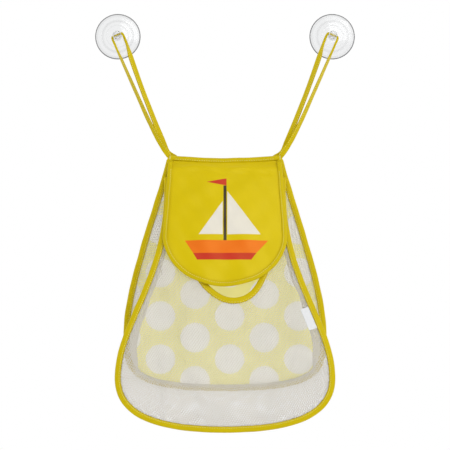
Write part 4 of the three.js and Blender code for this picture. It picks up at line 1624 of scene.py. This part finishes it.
@dataclass
class Gusset:
    """The net strip round the bag, sewn into the front binding and the rear one."""

    front: FrontPanel
    rear: RearPanel
    frames: int = 500
    sag: float = 13.0
    slack: float = 0.12
    slack_lengths: tuple[float, ...] = (67.0, 41.0, 113.0)
    end_gap: float = 1.0
    full_width: tuple[float, float] = (4.0, 40.0)
    tucked: float = 6.0
    tuck_turn: float = 2.0
    tuck_reach: float = 4.4

    def __post_init__(self) -> None:
        """Lays out the two seams, side by side."""
        start = 1.0 - self.rear.path.share_at_height(self.front.top_z)
        self.front_seam = Seam.on(self.front.surface, self.front.path, np.linspace(0, 1, self.frames))
        shares = np.linspace(start, 1 - start, self.frames)
        self.rear_seam = Seam.on(self.rear.surface, self.rear.path, shares)
        self.front_root, self.rear_root = (
            seam.point(np.array([SEWING.root]), np.array([behind]))[:, 0]
            for seam, behind in ((self.front_seam, -SEWING.web), (self.rear_seam, SEWING.web)))
        self.width = np.linalg.norm(self.rear_root - self.front_root, axis=1)
        self.along = run_length(self.front_root)

    def inside(self, along: Array, across: Array) -> Array:
        """Whether a flat place is on the strip, its tucked edges included.

        Args:
            along: Places along the front seam.
            across: Places from the front seam's root towards the rear.

        Returns:
            True where it is.
        """
        gap, held = self.end_gap, self.tucked - self.end_gap
        reach = np.interp(along, self.along, self.width) + held
        return (along > gap) & (along < self.along[-1] - gap) & (across > -held) & (across < reach)

    def point(self, along: Array, across: Array, lift: Array) -> Array:
        """A point of the strip, lifted off it towards the outside.

        Args:
            along: Places along the front seam.
            across: Places from the front seam's root towards the rear.
            lift: Heights over the strip.

        Returns:
            The points. The web is a straight line from root to root that sags inwards, and each
            tucked edge turns into its binding.
        """
        def take(values: Array) -> Array:
            """Vectors at the places along the seam."""
            return sample(along, self.along, values)

        width = np.interp(along, self.along, self.width)
        share = np.clip(across / width, 0.0, 1.0)[:, None]
        web = take(self.front_root) * (1 - share) + take(self.rear_root) * share
        out = unit(take(self.front_seam.out) * (1 - share) + take(self.rear_seam.out) * share)
        slack = 1 + self.slack * waves(along, self.slack_lengths, seed=71)
        sag = self.sag * slack * smooth(*self.full_width, width) * np.sin(np.pi * share[:, 0])
        within = SEWING.sheet + SEWING.gap
        beyond = np.where(across < 0, across, width - across)
        turn = [-self.tucked, -self.tuck_turn, 0.0]
        inward = [SEWING.root - self.tuck_reach, SEWING.root - SEWING.gap, SEWING.root]
        tuck_in = np.interp(beyond, turn, inward)[:, None]
        tuck_back = np.interp(beyond, turn, [within, within, SEWING.web])[:, None]
        front, rear = (
            take(seam.place) - take(seam.out) * tuck_in + take(seam.front) * side * tuck_back
            for seam, side in ((self.front_seam, -1.0), (self.rear_seam, 1.0)))
        point = np.where((across < 0)[:, None], front, np.where((across > width)[:, None], rear, web))
        return point + out * (lift - sag)[:, None]

    def build(self) -> None:
        """Makes the strip."""
        widest, end = float(self.width.max()), float(self.along[-1])
        reach = (0.0, end, -self.tucked, widest + self.tucked)
        strip = GAUGE.mesh("gusset_net", reach, self.inside, self.point)
        dress(strip, Slot.NET, Body.BAG, "gusset")


@dataclass
class Flap:
    """The printed cloth that hangs over the mouth, bound on its sides and its round lower edge."""

    top_half: float = 75.0
    half: float = 81.0
    side: float = 101.0
    length: float = 170.0
    fill: float = 0.88
    dome: float = 5.0
    fold: float = 3.0
    fold_pitch: float = 54.0
    sag_fall: float = 40.0
    crease: float = 0.5
    crease_way: tuple[float, float] = (0.8, 0.6)
    crease_lengths: tuple[tuple[float, ...], ...] = ((37.0, 23.0), (47.0, 31.0))
    calm_side: float = 26.0
    calm_top: float = 24.0
    calm_hem: tuple[float, float] = (-166.0, -140.0)
    wrinkle: float = 1.0
    wrinkle_fall: float = 9.0
    wrinkle_side: float = 20.0
    wander: float = 3.0
    wander_lengths: tuple[float, ...] = (70.0, 110.0)
    ridge_half: float = 3.2
    ridge_swing: float = 0.5
    ridge_lengths: tuple[float, ...] = (37.0, 53.0)
    hollow: float = 0.7
    hollow_drop: float = 7.0
    hollow_half: float = 4.0
    hollow_swing: float = 0.6
    hollow_lengths: tuple[float, ...] = (45.0, 31.0)
    hem_top: float = 4.4
    set_back: float = 3.0
    set_back_fall: float = 11.0
    tape: float = 6.4
    still: float = 12.0
    bend: tuple[float, float] = (2.0, 8.0)
    least_half: float = 2.0
    upper_rows: int = 114
    lower_rows: int = 76
    columns: int = 170

    def __post_init__(self) -> None:
        """Lays out the surface and the edge."""
        self.surface = ClothSurface(self.depth, LEAN, (0.0, -HINGE_DEPTH, SEAM_Z))
        turn = np.linspace(np.pi, 2 * np.pi, 2 * CURVE_STEPS)
        round_edge = joined(self.half * np.cos(turn), -self.side + (self.length - self.side) * np.sin(turn))
        self.path = EdgePath(np.concatenate([[[-self.top_half, 0.0]], round_edge, [[self.top_half, 0.0]]]))

    def depth(self, x: Array, z: Array) -> Array:
        """A dome, with soft folds that deepen towards the lower edge.

        Args:
            x: Places across the flap.
            z: Places up it, from its top seam.

        Returns:
            How far the cloth stands in front of the flap's plane.
        """
        share = np.clip(-z / self.length, 0.0, 1.0)
        dome = self.dome * np.sin(np.pi * share) * np.maximum(0.0, 1 - (x / self.half) ** 2)
        return dome + self.fold * share**2 * (1 - np.cos(2 * np.pi * x / self.fold_pitch)) / 2

    def half_width(self, z: Array) -> Array:
        """Half the flap's width: straight sides, and then half an ellipse down to the lower edge."""
        straight = self.top_half + (self.half - self.top_half) * np.clip(-z / self.side, None, 1.0)
        return straight * np.sqrt(1 - np.clip((-z - self.side) / (self.length - self.side), 0.0, 1.0) ** 2)

    def uneven(self, x: Array, z: Array, inset: Array) -> Array:
        """Small creases all over, and wrinkles along the top seam.

        Args:
            x: Places across the flap.
            z: Places up it, from its top seam.
            inset: How far in from the sides they are.

        Returns:
            How far the cloth stands out there.
        """
        calm = (
            smooth(SEWING.tuck, self.calm_side, inset) * smooth(0.0, -self.calm_top, z)
            * smooth(*self.calm_hem, z))
        (c, s), (first, second) = self.crease_way, self.crease_lengths
        crease = waves(c * x + s * z, first, seed=81) + waves(s * x - c * z, second, seed=82)
        line = z + self.wrinkle_fall + self.wander * waves(x, self.wander_lengths, seed=83)
        swing = self.ridge_swing
        ridge = bell(line, self.ridge_half) * (1 - swing + swing * waves(x, self.ridge_lengths, seed=84))
        swing = self.hollow_swing
        dent = self.hollow * bell(line + self.hollow_drop, self.hollow_half)
        hollow = dent * (1 - swing + swing * waves(x, self.hollow_lengths, seed=85))
        wrinkle = self.wrinkle * smooth(SEWING.tuck, self.wrinkle_side, inset) * (ridge - hollow)
        return self.crease * calm * crease + wrinkle

    def cloth(self) -> Piece:
        """The flap: rows across it down to the hem, creased a little and set back at its top seam.

        Returns:
            The object.
        """
        upper = np.linspace(self.hem_top, -self.side, self.upper_rows, endpoint=False)
        turn = np.linspace(0.0, np.pi / 2, self.lower_rows)
        lower = -self.side - (self.length - self.side - SEWING.tuck) * np.sin(turn)
        level = np.concatenate([upper, lower])[:, None]
        half = np.maximum(self.half_width(level) - SEWING.tuck, self.least_half)
        x = half * np.linspace(-1.0, 1.0, self.columns)
        sag = TOP_SAG * np.maximum(0.0, 1 - (x / TOP_HALF) ** 2)
        z = level - sag * smooth(-self.sag_fall, 0.0, level)
        rise = self.uneven(x, z, half - np.abs(x))
        point = self.surface.point(x, z) + self.surface.normal(x, z) * rise[..., None]
        point[..., 1] += self.set_back * smooth(-self.set_back_fall, 0.0, z)
        return sheet_piece("flap_cloth", point, joined(x, z), SEWING.cloth, aside=4 * self.half)

    def build(self) -> None:
        """Makes the flap and its binding."""
        flap = self.cloth()
        flap.data.materials.append(FINISHES[Slot.PRINTED])
        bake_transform(flap)
        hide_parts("flap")
        LOG.info("%s: %d faces between bag and flap", flap.name, len(flap.data.polygons))
        edge = Binding(
            "flap_binding", Seam.on(self.surface, self.path),
            SEWING.half, SEWING.half, seed=91, body=Body.FLAP, width=self.tape, still=self.still).build()


@dataclass
class SideLabel:
    """A folded woven label, sewn into the right front seam and lying on the net."""

    front: FrontPanel
    length: float = 30.0
    width: float = 11.0
    drop: float = 207.0
    gap: float = 0.6
    layer: float = 0.32
    pinch: float = 0.45
    pinch_reach: float = 2.0
    curl: float = 1.6
    wave: float = 0.25
    wave_length: float = 23.0
    fold_round: float = 1.15
    fold_turn: float = 9.0
    rows: int = 40
    columns: int = 48

    def build(self) -> None:
        """Makes the label: a strip from the seam to its fold and back."""
        share = self.front.path.share_at_height(TOP_Z - self.drop)
        seam = Seam.on(self.front.surface, self.front.path, np.array([share]))
        front, out = seam.front[0], seam.out[0]
        root = seam.place[0] - out * (SEWING.width + self.gap) + front * (SEWING.sheet + self.gap)
        run = np.linspace(-1.0, 1.0, self.columns)
        inward = self.width * (1 - np.abs(run) ** self.fold_round)
        layer = self.layer * (1 - self.pinch * np.exp(-inward / self.pinch_reach))
        reach = np.linspace(-0.5, 0.5, self.rows)[:, None] * self.length
        wave = self.wave * np.sin(2 * np.pi * reach / self.wave_length)
        lift = layer * np.tanh(run * self.fold_turn) + self.curl * (inward / self.width) ** 2
        place = joined(-inward, reach, lift + wave * inward / self.width)
        middle = root + place @ np.stack([out, np.cross(front, out), front])
        label = sheet_piece("woven_tag", middle, joined(reach, run * self.width), self.layer)
        dress(label, Slot.LABEL, Body.LABEL, "side_label")


@dataclass
class Studio:
    """The camera, the soft light, the pale floor and the white surroundings, in metres.

    Each lamp has a name, a place, the side of its square, and its power in watts.
    """

    distance: float = 2.2
    aim_height: float = -0.2487
    frame_width: float = 0.5947
    sensor: float = 36.0
    floor_height: float = -0.9
    floor_radius: float = 1.6
    floor_eye: float = 0.0001
    floor_sides: int = 96
    floor_colour: Colour = (0.86, 0.86, 0.85)
    floor_roughness: float = 0.8
    sky: float = 0.52
    backdrop: float = 1.25
    backdrop_edge: tuple[float, float] = (-0.2, 0.6)
    lamp_aim: tuple[float, float, float] = (0.0, 0.0, -0.3)
    lamps: tuple[tuple[str, tuple[float, float, float], float, float], ...] = (
        ("key", (0.95, -2.0, 0.75), 1.9, 26.0),
        ("left", (-2.0, -0.6, 0.2), 1.2, 7.0),
        ("right", (2.0, -0.6, 0.2), 1.2, 4.0))

    def camera(self) -> None:
        """A level camera straight in front, whose frame at the wall is as wide as the photograph's."""
        data = bpy.data.cameras.new("camera")
        data.sensor_width = self.sensor
        data.lens = self.sensor * self.distance / self.frame_width
        camera = linked("camera", data)
        camera.location = (0.0, -self.distance, self.aim_height)
        camera.rotation_euler = (math.pi / 2, 0.0, 0.0)
        bpy.context.scene.camera = camera

    def light(self) -> None:
        """Square soft lamps aimed at the bag."""
        for name, place, size, power in self.lamps:
            data = bpy.data.lights.new(name, "AREA")
            data.size, data.energy = size, power
            lamp = linked(name, data)
            lamp.location = place
            aim = Vector(self.lamp_aim) - Vector(place)
            lamp.rotation_euler = aim.to_track_quat("-Z", "Y").to_euler()

    def world(self) -> None:
        """White where it is seen, directly or in gloss and clear plastic.

        As a light it is softer in front and brighter behind, as a white backdrop is.
        """
        world = bpy.data.worlds.new("surroundings")
        world.use_nodes = True
        graph = Graph(world.node_tree)
        path = graph.add("LightPath").outputs
        seen = graph.math("MAXIMUM", path["Is Camera Ray"], path["Is Transmission Ray"])
        seen = graph.math("MAXIMUM", seen, path["Is Glossy Ray"])
        way = graph.split(graph.add("TexCoord").outputs["Generated"])
        behind = graph.step(way[1], *self.backdrop_edge)
        level = graph.math("MULTIPLY_ADD", behind, self.backdrop - self.sky, self.sky)
        light, white = (
            graph.add("Background", {"Color": opaque(WHITE), "Strength": strength}).outputs[0]
            for strength in (level, 1.0))
        mixed = graph.add("MixShader", {0: seen, 1: light, 2: white})
        graph.add("OutputWorld", {0: mixed.outputs[0]})
        bpy.context.scene.world = world

    def floor(self) -> None:
        """A round pale floor, low enough to stay out of the photograph's frame."""
        turn = np.linspace(0.0, 2 * np.pi, self.floor_sides, endpoint=False)
        radius = np.array([[self.floor_eye], [1.0]]) * self.floor_radius / MM
        points = joined(radius * np.cos(turn), radius * np.sin(turn), self.floor_height / MM).reshape(-1, 3)
        floor = new_piece("floor", points, [grid_quads(2, turn.size, wrap=True)])
        material, graph = new_material("pale_floor")
        shader = graph.add("BsdfPrincipled", {
            "Base Color": opaque(self.floor_colour), "Roughness": self.floor_roughness})
        graph.add("OutputMaterial", {0: shader.outputs[0]})
        floor.data.materials.append(material)

    def build(self) -> None:
        """Sets the whole stage."""
        self.camera()
        self.world()
        self.floor()
        self.light()
        bpy.context.scene.view_settings.view_transform = "Standard"


def main() -> None:
    """Builds the studio and every sub-assembly, in order."""
    logging.basicConfig(level=logging.INFO, format="%(message)s")
    Studio().build()
    cups = SuctionCups()
    straps = StrapLoops(cups)
    rear, front = RearPanel(), FrontPanel()
    cups.build(straps.tilt)
    for assembly in (straps, rear, front, Gusset(front, rear), Flap(), SideLabel(front)):
        assembly.build()


if __name__ == "__main__":
    main()
